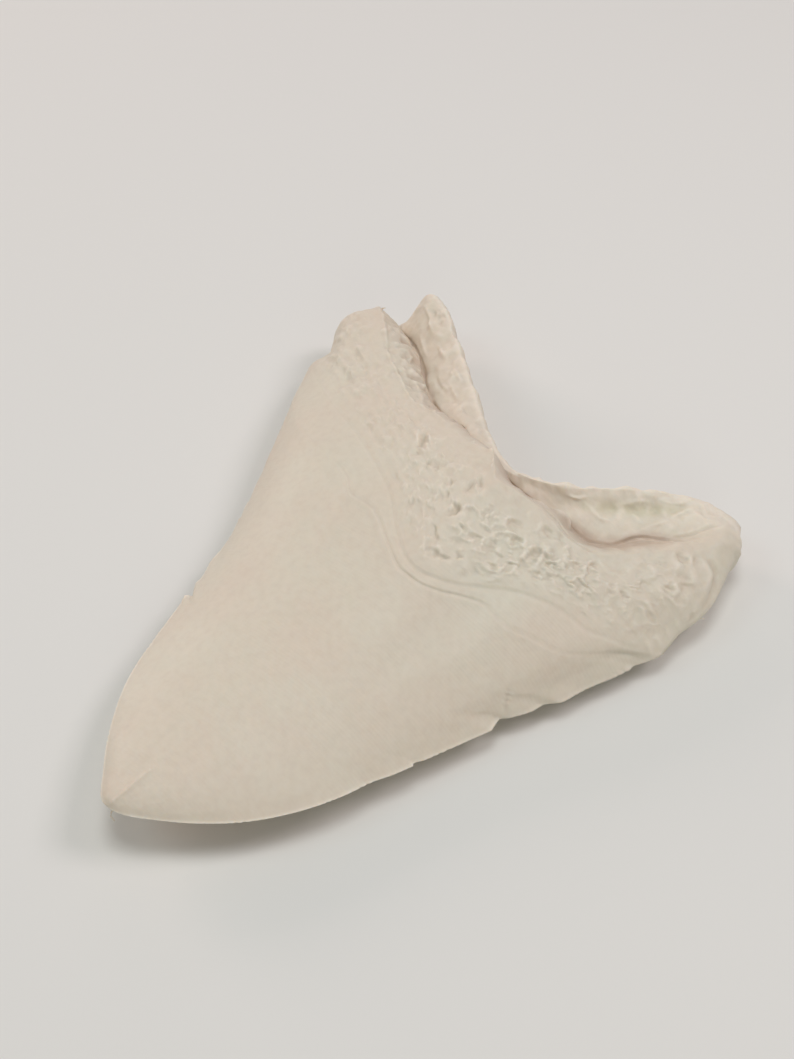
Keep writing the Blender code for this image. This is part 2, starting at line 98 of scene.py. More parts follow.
# The edges rise from the shoulders to the point over their length, because the blade curves up.
TIP_Z = 12.0
SHOULDER_Z = 5.0
EDGE_RISE_POWER = 2.4
EDGE_LENGTH = 105.0

# Height of the inner face's crest above the edges, by distance from the point, and depth of the outer face
# below them.
CREST_RISE = (
    (0, 0), (1, 1.4), (4, 2.8), (10, 4.4), (25, 7.4), (45, 11.6), (60, 14.6), (70.8, 17.2),
)
BELLY_DROP = (
    (0, 0), (1, 0.8), (4, 1.6), (10, 2.4), (25, 3.9), (45, 5.2), (60, 5.9), (75, 5.6), (100, 5.0),
)

# The two lines of the band where the blade meets the root, as places seen from above.
BAND_OUTER = (
    (-55.5, 113), (-48, 102), (-41, 95.5), (-34, 91), (-27.9, 88.4), (-18.9, 85.6), (-15.1, 83.8),
    (-10.5, 80.3), (-5.9, 80.2), (-2.4, 78.7), (3.7, 74.6), (10.8, 70.9), (14.2, 70.8), (19.1, 72.2),
    (22, 73.9), (27.9, 76.4), (32.3, 75.9), (37.8, 78), (43.2, 80.5), (47.9, 86.2), (51.1, 91.1), (55, 95),
)
BAND_INNER = (
    (-57, 117), (-47, 108.5), (-36, 101.5), (-25.3, 96.4), (-19.2, 93.4), (-14.2, 90.8), (-8.4, 87.4),
    (-3.3, 83.9), (1.1, 79.6), (5.2, 76.3), (9.4, 73.5), (12.6, 72.7), (17.7, 73.9), (23.7, 77.5),
    (28.5, 81.4), (34, 84.5), (39.7, 86.7), (43.7, 87.4), (48.3, 90.3), (51.9, 92.9), (56.5, 98.5),
)

# How fast the rows of the blade take on the bend of that band, from the point up.
BEND_POWER = 1.4

# Lines across the root, as x, y and height: the edge of its inner face, the ledge below that edge, the
# bottom of the groove, the far wall and the rim of the outer face.
RIDGE = (
    (-53.4, 136.6, 19.6), (-50.6, 135.6, 18.4), (-47.6, 133.2, 18.2), (-44.6, 130, 18.5),
    (-40.5, 126, 18.8), (-36.9, 122.5, 19.3),
    (-32.6, 118.6, 20), (-27.8, 115.7, 20.8), (-23, 112.4, 21.6), (-17.9, 109.7, 22.4), (-11.5, 109.1, 23.6),
    (-7.5, 107.9, 24.3), (-3.1, 106.1, 25), (1.8, 104.6, 26), (6.9, 104.4, 27.6), (10.3, 101, 28),
    (13, 98.1, 28), (16.4, 98.8, 27), (20.8, 99.5, 25.6), (25.8, 99.1, 24), (30.3, 98.9, 22.2),
    (35.4, 100.5, 20), (39, 104, 18.6), (43.1, 109.6, 17), (46.3, 114.2, 16.3), (50.1, 117.9, 15.6),
    (53.2, 123.8, 14.9), (55.6, 126.6, 14),
)
LEDGE = (
    (-51, 138.5, 11), (-46.5, 135.8, 14), (-40, 131, 16), (-34, 126, 17), (-27, 120.5, 17.8),
    (-20, 115.5, 18.8), (-14, 112.4, 20), (-7.5, 111, 21.8), (-1, 108.8, 23), (5, 107, 24.5), (10, 105, 24),
    (13.5, 103, 22.8), (16.6, 103.6, 21.5), (20.1, 104.3, 20), (25.5, 106.4, 18), (28.3, 105.3, 16.8),
    (33.3, 106.2, 15), (38.5, 111, 14.5), (45, 118, 14.6), (50, 122.5, 15),
    (53.5, 126.2, 14.9), (55.9, 128.6, 13.8),
)
GROOVE = (
    (-48, 139.8, 7.5), (-46, 138.6, 8), (-41, 135.9, 10), (-35.7, 132.2, 12), (-31, 128.4, 12.5),
    (-25.8, 123.1, 13.5), (-21.8, 120.1, 14.5), (-16.7, 115.8, 16), (-12.9, 114.6, 17), (-7.4, 113.4, 18),
    (-3.3, 110.5, 19), (1.9, 108.8, 19.5), (8, 107, 18.5), (15, 106.8, 16.5), (20.5, 107.5, 15),
    (25, 108.3, 13.8), (30, 108.3, 12.8), (34.8, 110.7, 12.5), (38.1, 116.4, 12.5), (41.8, 118.8, 12.5),
    (45.6, 120.9, 13), (48.6, 123.6, 14.1), (52, 127.4, 14.7), (55.2, 130, 13.6),
)
FAR_WALL = (
    (-47.5, 143.5, 12), (-43, 141.6, 14.4), (-36, 138, 15.6), (-28.5, 132, 16), (-19, 123.5, 17),
    (-9, 116, 18.6), (1, 110.5, 19.6), (8, 108.3, 19.6), (15, 109.5, 18.2), (22, 112.5, 16.4),
    (29, 116.5, 14.8), (35, 122, 14), (41, 126.3, 13.9), (46, 128.3, 14.1), (50, 129.8, 14.5),
    (54.7, 131.2, 13.4),
)
RIM = (
    (-47.5, 147, 16.8), (-44, 146.3, 18), (-37.5, 143.6, 18.2), (-28.6, 136.9, 18), (-16.5, 127.3, 18),
    (-4, 116.8, 18.5), (5, 110.6, 19.5), (10.5, 109.2, 19.5), (19, 112.2, 18.9), (32, 124, 16.6),
    (41, 130.6, 15), (47, 132.6, 13.4), (51, 132.4, 12.8), (53.9, 131.8, 12.2),
)
BACK = (
    (-46, 149.5), (-39.5, 147.6), (-28.5, 139.7), (-16.5, 129.9), (-4, 119.5), (5, 113.3), (10.5, 112),
    (18, 114.5), (32, 127), (41, 133.4), (47.5, 136), (51.8, 135.7),
)

# Where the root's sides pull in behind the shoulders and swell into the lobes, left and right, how far up
# from the band to the ridge that is, and how tightly it keeps to the sides. Between the band and the ridge
# the bends even out over a share of the width, and the face is fuller: a little everywhere, and more at the
# left lobe.
NECK_ENDS = ((-54.8, 121), (56.6, 103.4))
LOBE_ENDS = ((-59.6, 130.2), (58.2, 113))
NECK_SHARE = 0.25
LOBE_SHARE = 0.62
SIDE_POWER = 6
SMOOTH_REACH = 0.1
FACE_SWELL = 0.8
LEFT_FULLNESS = 2.5
ROOT_SIDE_Z = 9.0

# How far along the surface each line lies, from 0 at the point to 1 at the back.
BAND_OUTER_AT = 0.50
BAND_INNER_AT = 0.53
NECK_AT = 0.585
LOBE_AT = 0.67
RIDGE_AT = 0.745
LEDGE_AT = 0.79
GROOVE_AT = 0.84
FAR_WALL_AT = 0.90
RIM_AT = 0.955

# The pits of the root's inner face: x, y, half length, half width, turn away from the y axis in degrees, and
# depth.
PITS = (
    (-8, 99.5, 2.1, 0.8, -25, 0.8), (-7, 96.5, 0.8, 0.8, 0, 0.5), (-2.5, 94.5, 0.7, 0.7, 0, 0.4),
    (-0.5, 95, 0.7, 0.7, 0, 0.6), (5.5, 92.5, 1.2, 1, -10, 0.5), (7, 89.5, 1.4, 1, -35, 0.4),
    (9.5, 93.5, 1.4, 0.9, -25, 0.5), (10, 96, 1.1, 0.7, -85, 0.5), (10.5, 88, 1.1, 0.8, 0, 1),
    (10, 86.5, 1.1, 0.7, 30, 0.5), (10, 81.5, 1.2, 0.6, -55, 0.8), (11.5, 80, 1.1, 0.6, -60, 0.6),
    (14.5, 85, 0.8, 0.6, 90, 0.7), (17.5, 85, 1.1, 0.8, 30, 0.8), (21, 86, 1, 0.9, 0, 0.5),
    (11.5, 77, 0.8, 0.6, 55, 0.5), (13.5, 77.5, 1, 0.7, 85, 0.7), (15.5, 78, 1.2, 0.6, 40, 0.8),
    (17.5, 80.5, 0.8, 0.6, 45, 0.6), (21.5, 93, 2.2, 1.5, 0, 0.6), (24, 90.5, 1.5, 0.8, 0, 0.6),
    (28.5, 90.5, 2.3, 1, 0, 0.8), (31, 91.5, 2.1, 1, 0, 0.8), (28, 87, 1.8, 0.9, 0, 0.5),
    (31.5, 88, 1.1, 0.8, 15, 0.5), (33.5, 90, 1.1, 0.7, 15, 0.5), (27.5, 96.5, 1.1, 0.8, -5, 0.6),
    (30, 97.5, 1.1, 0.8, -65, 0.6), (35, 93.5, 1, 0.8, 0, 0.6), (35.5, 95.5, 0.9, 0.7, 20, 0.5),
    (37.5, 97.5, 2.2, 0.8, 0, 0.7), (40, 93.5, 0.9, 0.7, 5, 0.6), (43, 98, 0.8, 0.7, -30, 0.6),
    (45.5, 98.5, 1, 0.7, -60, 0.7), (45, 107.5, 2, 1, 5, 0.4), (47.5, 103, 1.8, 1.1, 5, 0.4),
    (47, 110.5, 1, 0.8, -35, 0.5), (49, 114.5, 1, 0.9, -25, 0.7), (51.5, 116.5, 1, 0.8, -25, 0.5),
    (52.5, 110.5, 1.4, 0.9, -5, 0.4), (51, 107, 0.9, 0.7, 0, 0.4), (-41.5, 117, 2.5, 0.7, -60, 0.3),
    (-37, 114, 2, 0.7, -55, 0.25), (-36.5, 122.5, 1.5, 1, -60, 0.6), (-28.5, 116.5, 1.3, 1.2, -80, 0.7),
    (-32.5, 123.5, 1.5, 1, -10, 0.6), (-25.5, 119.5, 1, 1, 0, 0.6), (-36, 141, 2.5, 0.7, -60, 0.5),
)

# How much of a pit's depth stands up round it as a low rim, how far and how large its outline wanders, and
# how wide and how deep the pits are drawn against their own sizes.
PIT_RIM = 0.7
PIT_WANDER = ((1.0, 1.7), (0.6, 0.8))
PIT_SPREAD = 1.3
PIT_DEEPNESS = 0.95

# Lines drawn on the surface: each has its rise, which is below 0 for a groove, its half width and the places
# that it runs through. First the marks of the inner face.
FACE_MARKS = (
    (-0.3, 0.9, ((-43.5, 118), (-40, 116), (-35.5, 113.5))),
    (0.35, 0.7, ((-43.5, 119.3), (-41, 118.5))),
    (-0.15, 0.7, ((-39, 109.5), (-34, 107.5), (-29, 105.5))),
    (-0.15, 0.8, ((-33, 102.4), (-27, 100), (-22, 98), (-17, 95.2), (-12.5, 92.5))),
    (-0.15, 0.8, ((-26, 104), (-19.5, 102), (-13, 98.5), (-7.5, 96))),
    (-0.12, 0.7, ((-16.5, 101), (-10.5, 98.5), (-5.5, 96))),
    (-0.55, 0.45, ((-9, 102.5), (-8.5, 100), (-7, 98.5), (-5.5, 98))),
    (0.3, 0.6, ((-7.5, 102), (-6.5, 100.5))),
    (0.5, 0.4, ((2, 86.2), (3.5, 86.1))),
    (-0.6, 0.5, ((9, 92.5), (9, 94.5), (10, 95.6), (11.5, 95.2))),
    (-0.5, 0.5, ((10.5, 89), (10.8, 87.5), (10, 85.5))),
    (0.45, 0.45, ((11.5, 88.5), (12, 89.5), (13.5, 90.2))),
    (0.35, 0.5, ((20.4, 91), (19.8, 92.5), (20.2, 93.6), (21.5, 94.5))),
    (0.3, 0.5, ((21.2, 89.8), (23, 91.5))),
    (-0.5, 0.5, ((23.8, 89.3), (23.7, 91.3))),
    (0.5, 0.35, ((31.7, 96), (31.9, 98))),
    (0.6, 0.4, ((29.4, 89), (29.8, 91), (29.3, 93))),
    (0.6, 0.4, ((36.8, 95.5), (36.9, 97.2), (36.7, 99))),
    (0.5, 0.4, ((31.7, 89.8), (32, 92.3), (31.2, 94.5))),
    (0.4, 0.4, ((28.1, 85), (28.6, 87.6))),
    (0.4, 0.45, ((26.7, 87.7), (27, 90.4), (26.8, 92.2))),
    (0.35, 0.5, ((33.5, 93), (34.4, 95.5), (34, 97.5))),
    (0.3, 0.5, ((24.5, 93.5), (25.6, 95.5), (25, 97.5))),
    (0.25, 0.35, ((51, 105.5), (53.5, 106))),
    (0.25, 0.35, ((50, 106.3), (52.6, 107))),
)

# The marks of the groove and its walls: the ledge below the right lobe's edge, the crevice, the far wall's
# trough with its lip, and the ridges and hollows of both lobes' far walls.
WALL_MARKS = (
    (0.3, 0.45, ((-47.6, 133.2), (-40.5, 126), (-32.6, 118.6), (-27.8, 115.7), (-17.9, 109.7), (-9, 108.4))),
    (-0.6, 0.4, ((-48, 139.8), (-41, 135.9), (-35.7, 132.2), (-31, 128.4), (-25.8, 123.1), (-16.7, 115.8))),
    (-0.6, 0.4, (
        (-21, 119), (-12.9, 114.6), (-7.4, 113.4), (-3.3, 110.5), (1.9, 108.8), (8, 107), (15, 106.8),
    )),
    (-0.6, 0.4, ((12, 106.8), (20.5, 107.5), (25, 108.3), (30, 108.3), (34.8, 110.7))),
    (-0.6, 0.45, ((33, 108), (35.5, 112), (38.1, 116.4), (41.8, 118.8), (45.6, 120.9))),
    (0.35, 0.4, ((36.4, 110.5), (38.6, 114.2), (42, 116.6), (45, 118.6))),
    (-0.5, 0.55, ((43.5, 120.4), (46, 122.8), (48, 126), (49.8, 128.8))),
    (-0.4, 0.5, ((44.5, 119.5), (47, 121), (49.2, 121.7))),
    (-1.1, 0.32, ((23, 100.5), (25.5, 101.2), (27.5, 101.4), (30, 101.1), (32.5, 100.7), (35.5, 101.2))),
    (-0.4, 0.3, ((17.5, 101.6), (20.4, 101.2), (22.1, 101.3), (24, 101.9))),
    (0.5, 0.35, ((17.5, 102.6), (20.4, 102.3), (23, 102.6))),
    (0.8, 0.9, ((24, 104), (26, 105.4), (28, 104.2))),
    (-0.4, 1.9, ((28.5, 115.8), (32, 119), (36, 122.8), (40.5, 126.6))),
    (0.2, 0.6, ((31, 119.4), (33, 122.4), (35.5, 124.6))),
    (0.2, 0.5, ((36.5, 125.9), (39, 127.4), (41.5, 129.4))),
    (0.4, 2.0, ((-39.5, 142.4), (-35, 138.4), (-29.5, 133.4), (-24, 128.8))),
    (-0.4, 0.7, ((-39, 142), (-36.5, 140.5), (-34, 139))),
    (0.4, 0.6, ((-42.5, 143.5), (-38, 140), (-35, 137))),
    (0.35, 0.6, ((-31, 134), (-28, 132), (-25.5, 130.5))),
    (0.35, 0.6, ((-22, 128.5), (-19.5, 127), (-17, 125.5))),
    (0.35, 0.6, ((-38.5, 136.5), (-35.5, 134), (-32.5, 131.5))),
    (0.3, 0.6, ((-21, 125), (-18, 123), (-15, 121))),
    (-0.3, 0.6, ((-25.5, 126), (-22.5, 123.5), (-18.5, 121.5))),
    (0.35, 0.5, ((21.5, 113), (23, 113.5), (24.5, 115))),
    (0.35, 0.5, ((33.5, 120), (34.5, 120), (36, 119.5))),
    (0.35, 0.5, ((40.5, 124.5), (41.5, 126.5), (42.5, 128.5))),
    (0.3, 0.6, ((37, 118), (38.5, 120.5), (40.5, 123.5))),
    (0.35, 0.6, ((26, 114.5), (28.5, 114), (31, 115))),
)

# The scratch above the bite of the right edge, the folds of the right lobe's end, and the bumps across the
# edge of the right shoulder.
END_MARKS = (
    (-0.4, 0.5, ((41.8, 65.2), (40.8, 66.6), (39.9, 68.4))),
    (-0.9, 0.8, ((52.8, 119.2), (54.9, 119.2), (55.8, 118), (56.6, 115.8), (57.4, 113.4), (57.9, 111))),
    (0.3, 0.9, ((52.4, 117.8), (54.2, 117), (55.4, 114.6), (56.2, 111.5), (56.4, 108.5))),
    (-1.0, 0.7, ((57.2, 110), (56.8, 107.8), (56.9, 106))),
    (0.6, 0.6, ((57.6, 108.8), (56.4, 109.2))),
    (0.5, 0.5, ((57.3, 106.6), (56, 107.3))),
    (0.45, 0.5, ((56.6, 104.2), (55, 104.8))),
    (0.45, 0.6, ((56.3, 101.4), (54.2, 102))),
    (0.45, 0.6, ((56.2, 98.6), (54, 99.2))),
    (0.4, 0.6, ((55.5, 96), (53.3, 96.8))),
)

# How a mark is drawn: the steps along it, how many half widths it reaches, how much of its rise turns over
# into a lip beside it, and the share of its rise that is left at its ends. It takes its height from the
# nearest points of the surface, and the last value keeps the very nearest one from counting alone.
MARK_STEP = 0.8
MARK_REACH = 3.2
MARK_LIP = 0.3
MARK_END = 0.2
NEAREST_POINTS = 6
NEAREST_EASE = 0.05

# Specks of plastic: x, y, height and half width.
SPECKS = (
    (-42, 126.8, 0.6, 0.6), (-37, 125.6, 0.6, 0.5), (-31.5, 121.9, 0.6, 0.6), (-28.7, 123.5, 0.5, 0.5),
    (-30.4, 123.9, 0.5, 0.5), (-23.2, 118.4, 0.6, 0.5), (-12.4, 109.4, 0.5, 0.5), (-6.6, 113.2, 0.5, 0.4),
    (1.3, 105.6, 0.5, 0.4), (6.8, 104.4, 0.6, 0.5), (9, 102.2, 0.5, 0.4), (9.8, 100.6, 0.5, 0.4),
    (-21.3, 127, 0.4, 0.4), (-11.3, 117.8, 0.45, 0.5), (-16, 121.6, 0.35, 0.5), (-37, 138.6, 0.4, 0.8),
    (15, 111.2, 0.4, 0.5), (47, 107.5, 0.3, 1.2), (43.5, 103, 0.3, 1.3), (49.5, 112, 0.3, 1.2),
    (51.5, 108.4, 0.3, 1.1), (46, 101, 0.25, 1.4), (50.5, 100.5, 0.25, 1.4), (53, 113, 0.25, 1.1),
)

# Fine strings that the printer left, each as the places that it runs through and its radius at both ends:
# one hangs from the point, and short ones stick out of the left lobe and of the right one. Their sides are
# found from a direction that none of them runs in.
STRINGS = (
    ((1.4, 1.6, 12.0), (0.9, 0.2, 10.6), (0.8, -0.1, 9.4), (1.3, 0.1, 8.0), 0.2, 0.08),
    ((-49.6, 134.9, 15.8), (-49, 134.9, 17.1), (-48.2, 135, 17.5), 0.25, 0.1),
    ((55.6, 108.5, 7.0), (57.6, 110.1, 6.8), (58.5, 110.7, 6.8), 0.22, 0.1),
)
STRING_SIDES = 6
OFF_STRINGS = (0.3, 0.2, 1)

# The two grooves of the band and the lip outside them: depth or height, and half width. They fade to a share
# of that on the left and on the right, from one distance out to another.
BAND_GROOVE = (0.24, 0.3)
BAND_LIP = (0.1, 0.6)
INNER_GROOVE = (0.24, 0.5)
FAINT_LEFT = (0.35, 14, 26)
FAINT_RIGHT = (0.6, 18, 38)

# The crease of the right lobe's end. Beyond it the side drops, over a width, and less near the crease's ends.
LOBE_CREASE = ((52.5, 121), (55, 118.8), (56.2, 116), (57, 112.5), (56.8, 109), (56, 105.5))
LOBE_CREASE_DROP = 1.1
LOBE_CREASE_WIDTH = 1.1
LOBE_CREASE_FADE = 4.0

# The ridge at the point, its height and half width, and the roughness on its right: height, size, how far up
# the blade it reaches, and the x from which and to which it grows.
TIP_RIDGE = ((1, 1), (1.6, 4), (2.1, 9.5))
TIP_RIDGE_FORM = (0.35, 0.5)
TIP_ROUGHNESS = (0.12, 0.9, 14.0)
TIP_ROUGH_SIDE = (0, 2)

# Lumps, each with its height and size: over the whole tooth, over the root, on the far wall, and in the
# ragged strip beside the groove of the left lobe. The strip's lumps are creased: they slant, are lifted, and
# fall away to both sides. It grows with the distance to the left and narrows fast away from the ledge.
WIDE_LUMPS = ((0.08, 9.0),)
ROOT_LUMPS = ((0.5, 6.5), (0.3, 2.8), (0.08, 1.35))
WALL_LUMPS = ((0.45, 3.6), (0.24, 1.4))
RAGGED_LUMPS = ((1.5, 3.0), (0.6, 1.4))
RAGGED_SLANT = 0.5
RAGGED_LIFT = 0.3
RAGGED_TIGHTNESS = 2.0
RAGGED_FROM = 15.0

# The long wrinkles of the left half, as height, length, width, turn in degrees and the x's that they fade
# over, and the streaks that run along the blade, as height, width and length.
WRINKLES = (0.42, 6.5, 1.5)
WRINKLE_TURN = 27.0
WRINKLE_SIDE = (-8, 8)
BLADE_STREAKS = (0.07, 4.0, 26.0)

# The net of low ridges between the pits: cell width, how much longer the cells are along the tooth, height
# and half width of a ridge, depth of a cell and how far from the ridges its floor begins and is full, and
# how the net wanders.
NET_CELL = 2.5
NET_STRETCH = 1.5
NET_RIDGE = (0.34, 0.2)
NET_DEPTH = 0.42
NET_FLOOR = (0.05, 0.5)
NET_WANDER = ((1.6, 3.6), (0.9, 1.3))

# The ridges are broken, and the net is strong only in patches and weak outside them. Each is given as the
# size of its noise and the noise's values that it fades between. Across the tooth the net starts weak, gains
# a share twice and loses one at the right lobe, each from one x to another.
NET_BREAKS = (2.6, -0.35, 0.25)
NET_PATCHES = (7.5, -0.5, 0.15)
NET_WEAK = 0.2
NET_START = 0.45
NET_GAINS = ((0.3, -18, 2), (0.3, 10, 20))
NET_LOSS = (0.45, 38, 46)

# Crumbs: spacing, share of the cells with one, height and half width.
CRUMBS = (1.7, 0.16, 0.3, 0.2)

# The scattered spots of the net and the crumbs keep this far from the sides of their cells. A cell's number
# is mixed from its place by large factors and shifts that have no other meaning.
SPOT_MARGIN = 0.15
PLACE_FACTORS = (374761393, 668265263)
PLACE_START = 4096
ROW_FACTOR = 31
SEED_FACTOR = 977
LAST_FACTOR = 1274126177
SHIFTS = (13, 16)
NUMBER_MASK = 0xFFFFFF

# The notches of the cutting edges. Their spacing wanders in waves, each given as a share of a notch, a
# length and a start, and they come in groups, by waves with a length and a start. The weakest have a share
# of the full depth, which is reached between two values of the groups' waves. They begin between two
# distances from the point. A power below 1 keeps them round between their sharp bottoms. They reach in from
# the edge, and lower its upper side by a share of their depth over a width. At the point the blade counts as
# a little wider.
NOTCH_WANDERS = ((0.35, 3.1, 0), (0.2, 1.7, 1))
NOTCH_GROUPS = ((4.3, 2), (1.9, 1))
NOTCH_WEAK = 0.25
NOTCH_FULL = (0.1, 0.8)
NOTCH_START = (1, 6)
NOTCH_POWER = 0.7
NOTCH_REACH = 0.6
NOTCH_SLOPE = (0.5, 1.3)
LEAST_HALF = 0.01

# Starting numbers of the noises, so that no two are alike.
ROOT_SEED = 1
TIP_SEED = 4
NET_SEED = 5
WIDE_SEED = 8
WRINKLE_SEED = 9
STREAK_SEED = 10
BREAK_SEED = 12
PATCH_SEED = 13
PIT_SEED = 14
RAGGED_SEED = 16
WALL_SEED = 18
CRUMB_SEED = 31
WANDER_SEED = 41

# Powers of the cross sections: a lens in the blade, from the point to the band, a slab with round sides in
# the root and its lobes, the belly below the blade, and how close to the sides the small forms keep their
# height.
TIP_POWERS = (1.9, 1.08)
BAND_POWERS = (2.3, 0.88)
ROOT_POWERS = (12.0, 0.5)
LOBE_POWERS = (20.0, 0.5)
BELLY_POWERS = (2.0, 1.0)
SIDE_POWERS = (40.0, 1.0)

# How far in from the back the underside rounds up to it.
BACK_ROUNDING = 8.0

# Steps of evening out that round the root's creases, and the share of a crease that each takes. Past the
# first ones they act only at the lobes' ends, and grow from one distance out to another.
SOFTENING = 2
END_SOFTENING = 6
SOFTENED_SHARE = 0.5
SOFT_LEFT_END = (38, 50)
SOFT_RIGHT_END = (46, 53)

# The tints of the surface: painted shade in hollows, painted light, the olive painted shade of the trough,
# and the root's share. Small hollows and small rises are found by evening the fine forms out in some steps
# and taking the difference; hollows get painted shade and rises painted light. Here are the steps, the
# difference that is fully tinted, and how strongly hollows are shaded.
TINTS = ("hollow", "bright", "stain", "root")
EVENING_STEPS = 12
BEND_TINTED = 0.4
BEND_HOLLOW = 0.5

# The near wall of the groove gets painted shade by its depth below the ridge, fully at this one, and by a
# share more from one x to another. The painted shade fades from the groove up to a place on the far wall, and
# at the right end.
RIDGE_ROW = BLADE_ROWS + round(ROOT_ROWS * (RIDGE_AT - BAND_OUTER_AT) / (1 - BAND_OUTER_AT))
WALL_HOLLOW = 9.0
WALL_TINT = 0.7
WALL_TINTED = (-24, -12)
WALL_TINT_AT = 0.86
END_UNTINTED = (40, 50)

# Painted light: the cutting edges are painted lighter over a width, as if light shone through them. The rim
# is painted lighter, by a share and over a part of the way along the surface, and the far wall by a share,
# and by more in its right half, from one x to another.
EDGE_GLOW = 0.6
RIM_GLOW = (0.7, 0.012)
WALL_GLOW = 0.15
RIGHT_WALL_GLOW = (0.45, 4, 14)

# An olive painted shade lies in the trough of the far wall. It is drawn as a mark is.
TROUGH_SHADE = (1.0, 1.6, ((24.5, 113.5), (28, 116), (32, 119.6), (36, 123), (42, 128.2)))

# The outer face of the root: hollow in the middle, flat where the two lobes touch the surface below.
ARCH_Z = 1.6
ARCH_HALF_WIDTH = 0.55

# The plastic: its own values, with how far red, green and blue light soaks in, noises with the size of their
# lumps and their detail, and what is mixed into its ivory, each with its colour, its strength, and what it
# follows from one value, at which it starts, to another. Three of the mixed colours are painted shade and
# painted light; the others are the plastic's own uneven tone.
PLASTIC = {
    "IOR": 1.46,
    "Metallic": 0,
    "Subsurface Weight": 0.35,
    "Subsurface Radius": (1.0, 0.75, 0.55),
    "Subsurface Scale": 0.6 * MM,
}
NOISES = (("patches", 22.0, 3.0), ("small_patches", 7.0, 2.0), ("grain", 1.5, 4.0))
TINTING = (
    ("#DCC6B4", 0.35, "patches", 0.35, 0.65),
    ("#CFD2BE", 0.1, "small_patches", 0.5, 0.75),
    # Olive painted shade in the trough of the far wall.
    ("#B0A97A", 0.6, "stain", 0.05, 0.9),
    # Painted shade in small hollows and on the groove's near wall.
    ("#B39A87", 0.62, "hollow", 0.05, 1.3),
    # Painted light on small rises, the cutting edges, the rim and the far wall.
    ("#F4EADB", 0.6, "bright", 0.1, 1.0),
    ("#F4EADB", 0.08, "grain", 0.5, 0.7),
    ("#B99E8C", 0.08, "grain", 0.5, 0.3),
)

# The satin sheen: its roughness follows the patches.
SHEEN = {"From Min": 0.3, "From Max": 0.7, "To Min": 0.46, "To Max": 0.58}

# How strongly the grain of the cast fossil shows in the blade and in the root, and its height.
GRAIN_HEIGHT = 0.5
BLADE_GRAIN = 0.05
ROOT_GRAIN = 0.2

# The real layer lines are a fraction of a millimetre apart. They are drawn as coarse as they need to show,
# and waver a little. The wave node's bands are this far apart at a scale of 1.
LAYER_HEIGHT = 0.05
LAYER_STRENGTH = 0.12
LAYER_WAVER = {"Distortion": 0.6, "Detail": 1.0, "Detail Scale": 0.4}
BAND_SPACING = math.pi / 10

# Sockets of the colour mixing node.
MIX_A = 6
MIX_B = 7
MIX_RESULT = 2

# The stage: a pale floor with its half side in metres, a pale room and large soft lights, each with its
# direction round the tooth and its height above the horizon in degrees, its colour and its power in watts.
FLOOR_COLOUR = "#E3E1DC"
FLOOR_ROUGHNESS = 0.8
ROOM_COLOUR = "#E9E8E6"
FLOOR_HALF = 3.0
LIGHTS = (
    ("softbox_behind_right", 135, 50, "#FFF5F9", 2.6),
    ("softbox_above", 0, 90, "#FBFFFF", 3.2),
    ("softbox_left", 270, 20, "#FFE6E0", 2.3),
    ("softbox_front_left", 315, 50, "#DDF8FF", 0.8),
    ("softbox_front_right", 45, 20, "#F2FFF6", 0.8),
    ("softbox_behind_left", 225, 20, "#FFE0F0", 0.4),
)
LIGHT_SIZE = 350.0
LIGHT_DISTANCE = 1000.0

# The camera looks down at the tooth from the side of its point, as the photograph does. Its sensor is in
# millimetres and its height of view in degrees.
SENSOR = 36.0
CAMERA_CLIP = 10.0
CAMERA_AZIMUTH = 40.0
CAMERA_ELEVATION = 48.0
CAMERA_DISTANCE = 300.0
CAMERA_AIM = (-2.24, 10.62, 12.0)
CAMERA_VIEW_HEIGHT = 41.1655


def linear(code):
    """An sRGB hex colour as linear red, green and blue."""
    parts = [int(code[i : i + 2], 16) / 255 for i in (1, 3, 5)]
    return tuple(p / 12.92 if p <= 0.04045 else ((p + 0.055) / 1.055) ** 2.4 for p in parts)


class ToothLook(bpy.types.PropertyGroup):
    """Sizes and colours of the tooth."""

    notch_pitch: bpy.props.FloatProperty(
        name="Notch spacing",
        description="Length of one notch along the cutting edges",
        default=1.3 * MM,
        unit="LENGTH",
    )
    notch_depth: bpy.props.FloatProperty(
        name="Notch depth",
        description="How far the notches are set into the cutting edges",
        default=0.22 * MM,
        unit="LENGTH",
    )
    pit_depth: bpy.props.FloatProperty(
        name="Pit depth",
        description="Depth of the root's pits, as a share of the measured depth",
        default=1.0,
        min=0,
        subtype="FACTOR",
    )
    layer_pitch: bpy.props.FloatProperty(
        name="Layer spacing",
        description="Distance between the faint lines of the printed layers",
        default=0.75 * MM,
        unit="LENGTH",
    )
    ivory: bpy.props.FloatVectorProperty(
        name="Ivory",
        description="Colour of the plastic",
        default=linear("#DCD3C1"),
        size=3,
        min=0,
        max=1,
        subtype="COLOR",
    )


class StageLook(bpy.types.PropertyGroup):
    """Strength of the lights and of the room."""

    light_power: bpy.props.FloatProperty(
        name="Light power",
        description="Power of the soft lights, as a share of the power that they were set up with",
        default=1.0,
        min=0,
        subtype="FACTOR",
    )
    room_strength: bpy.props.FloatProperty(
        name="Room light",
        description="Strength of the light from the pale room",
        default=0.3,
        min=0,
    )


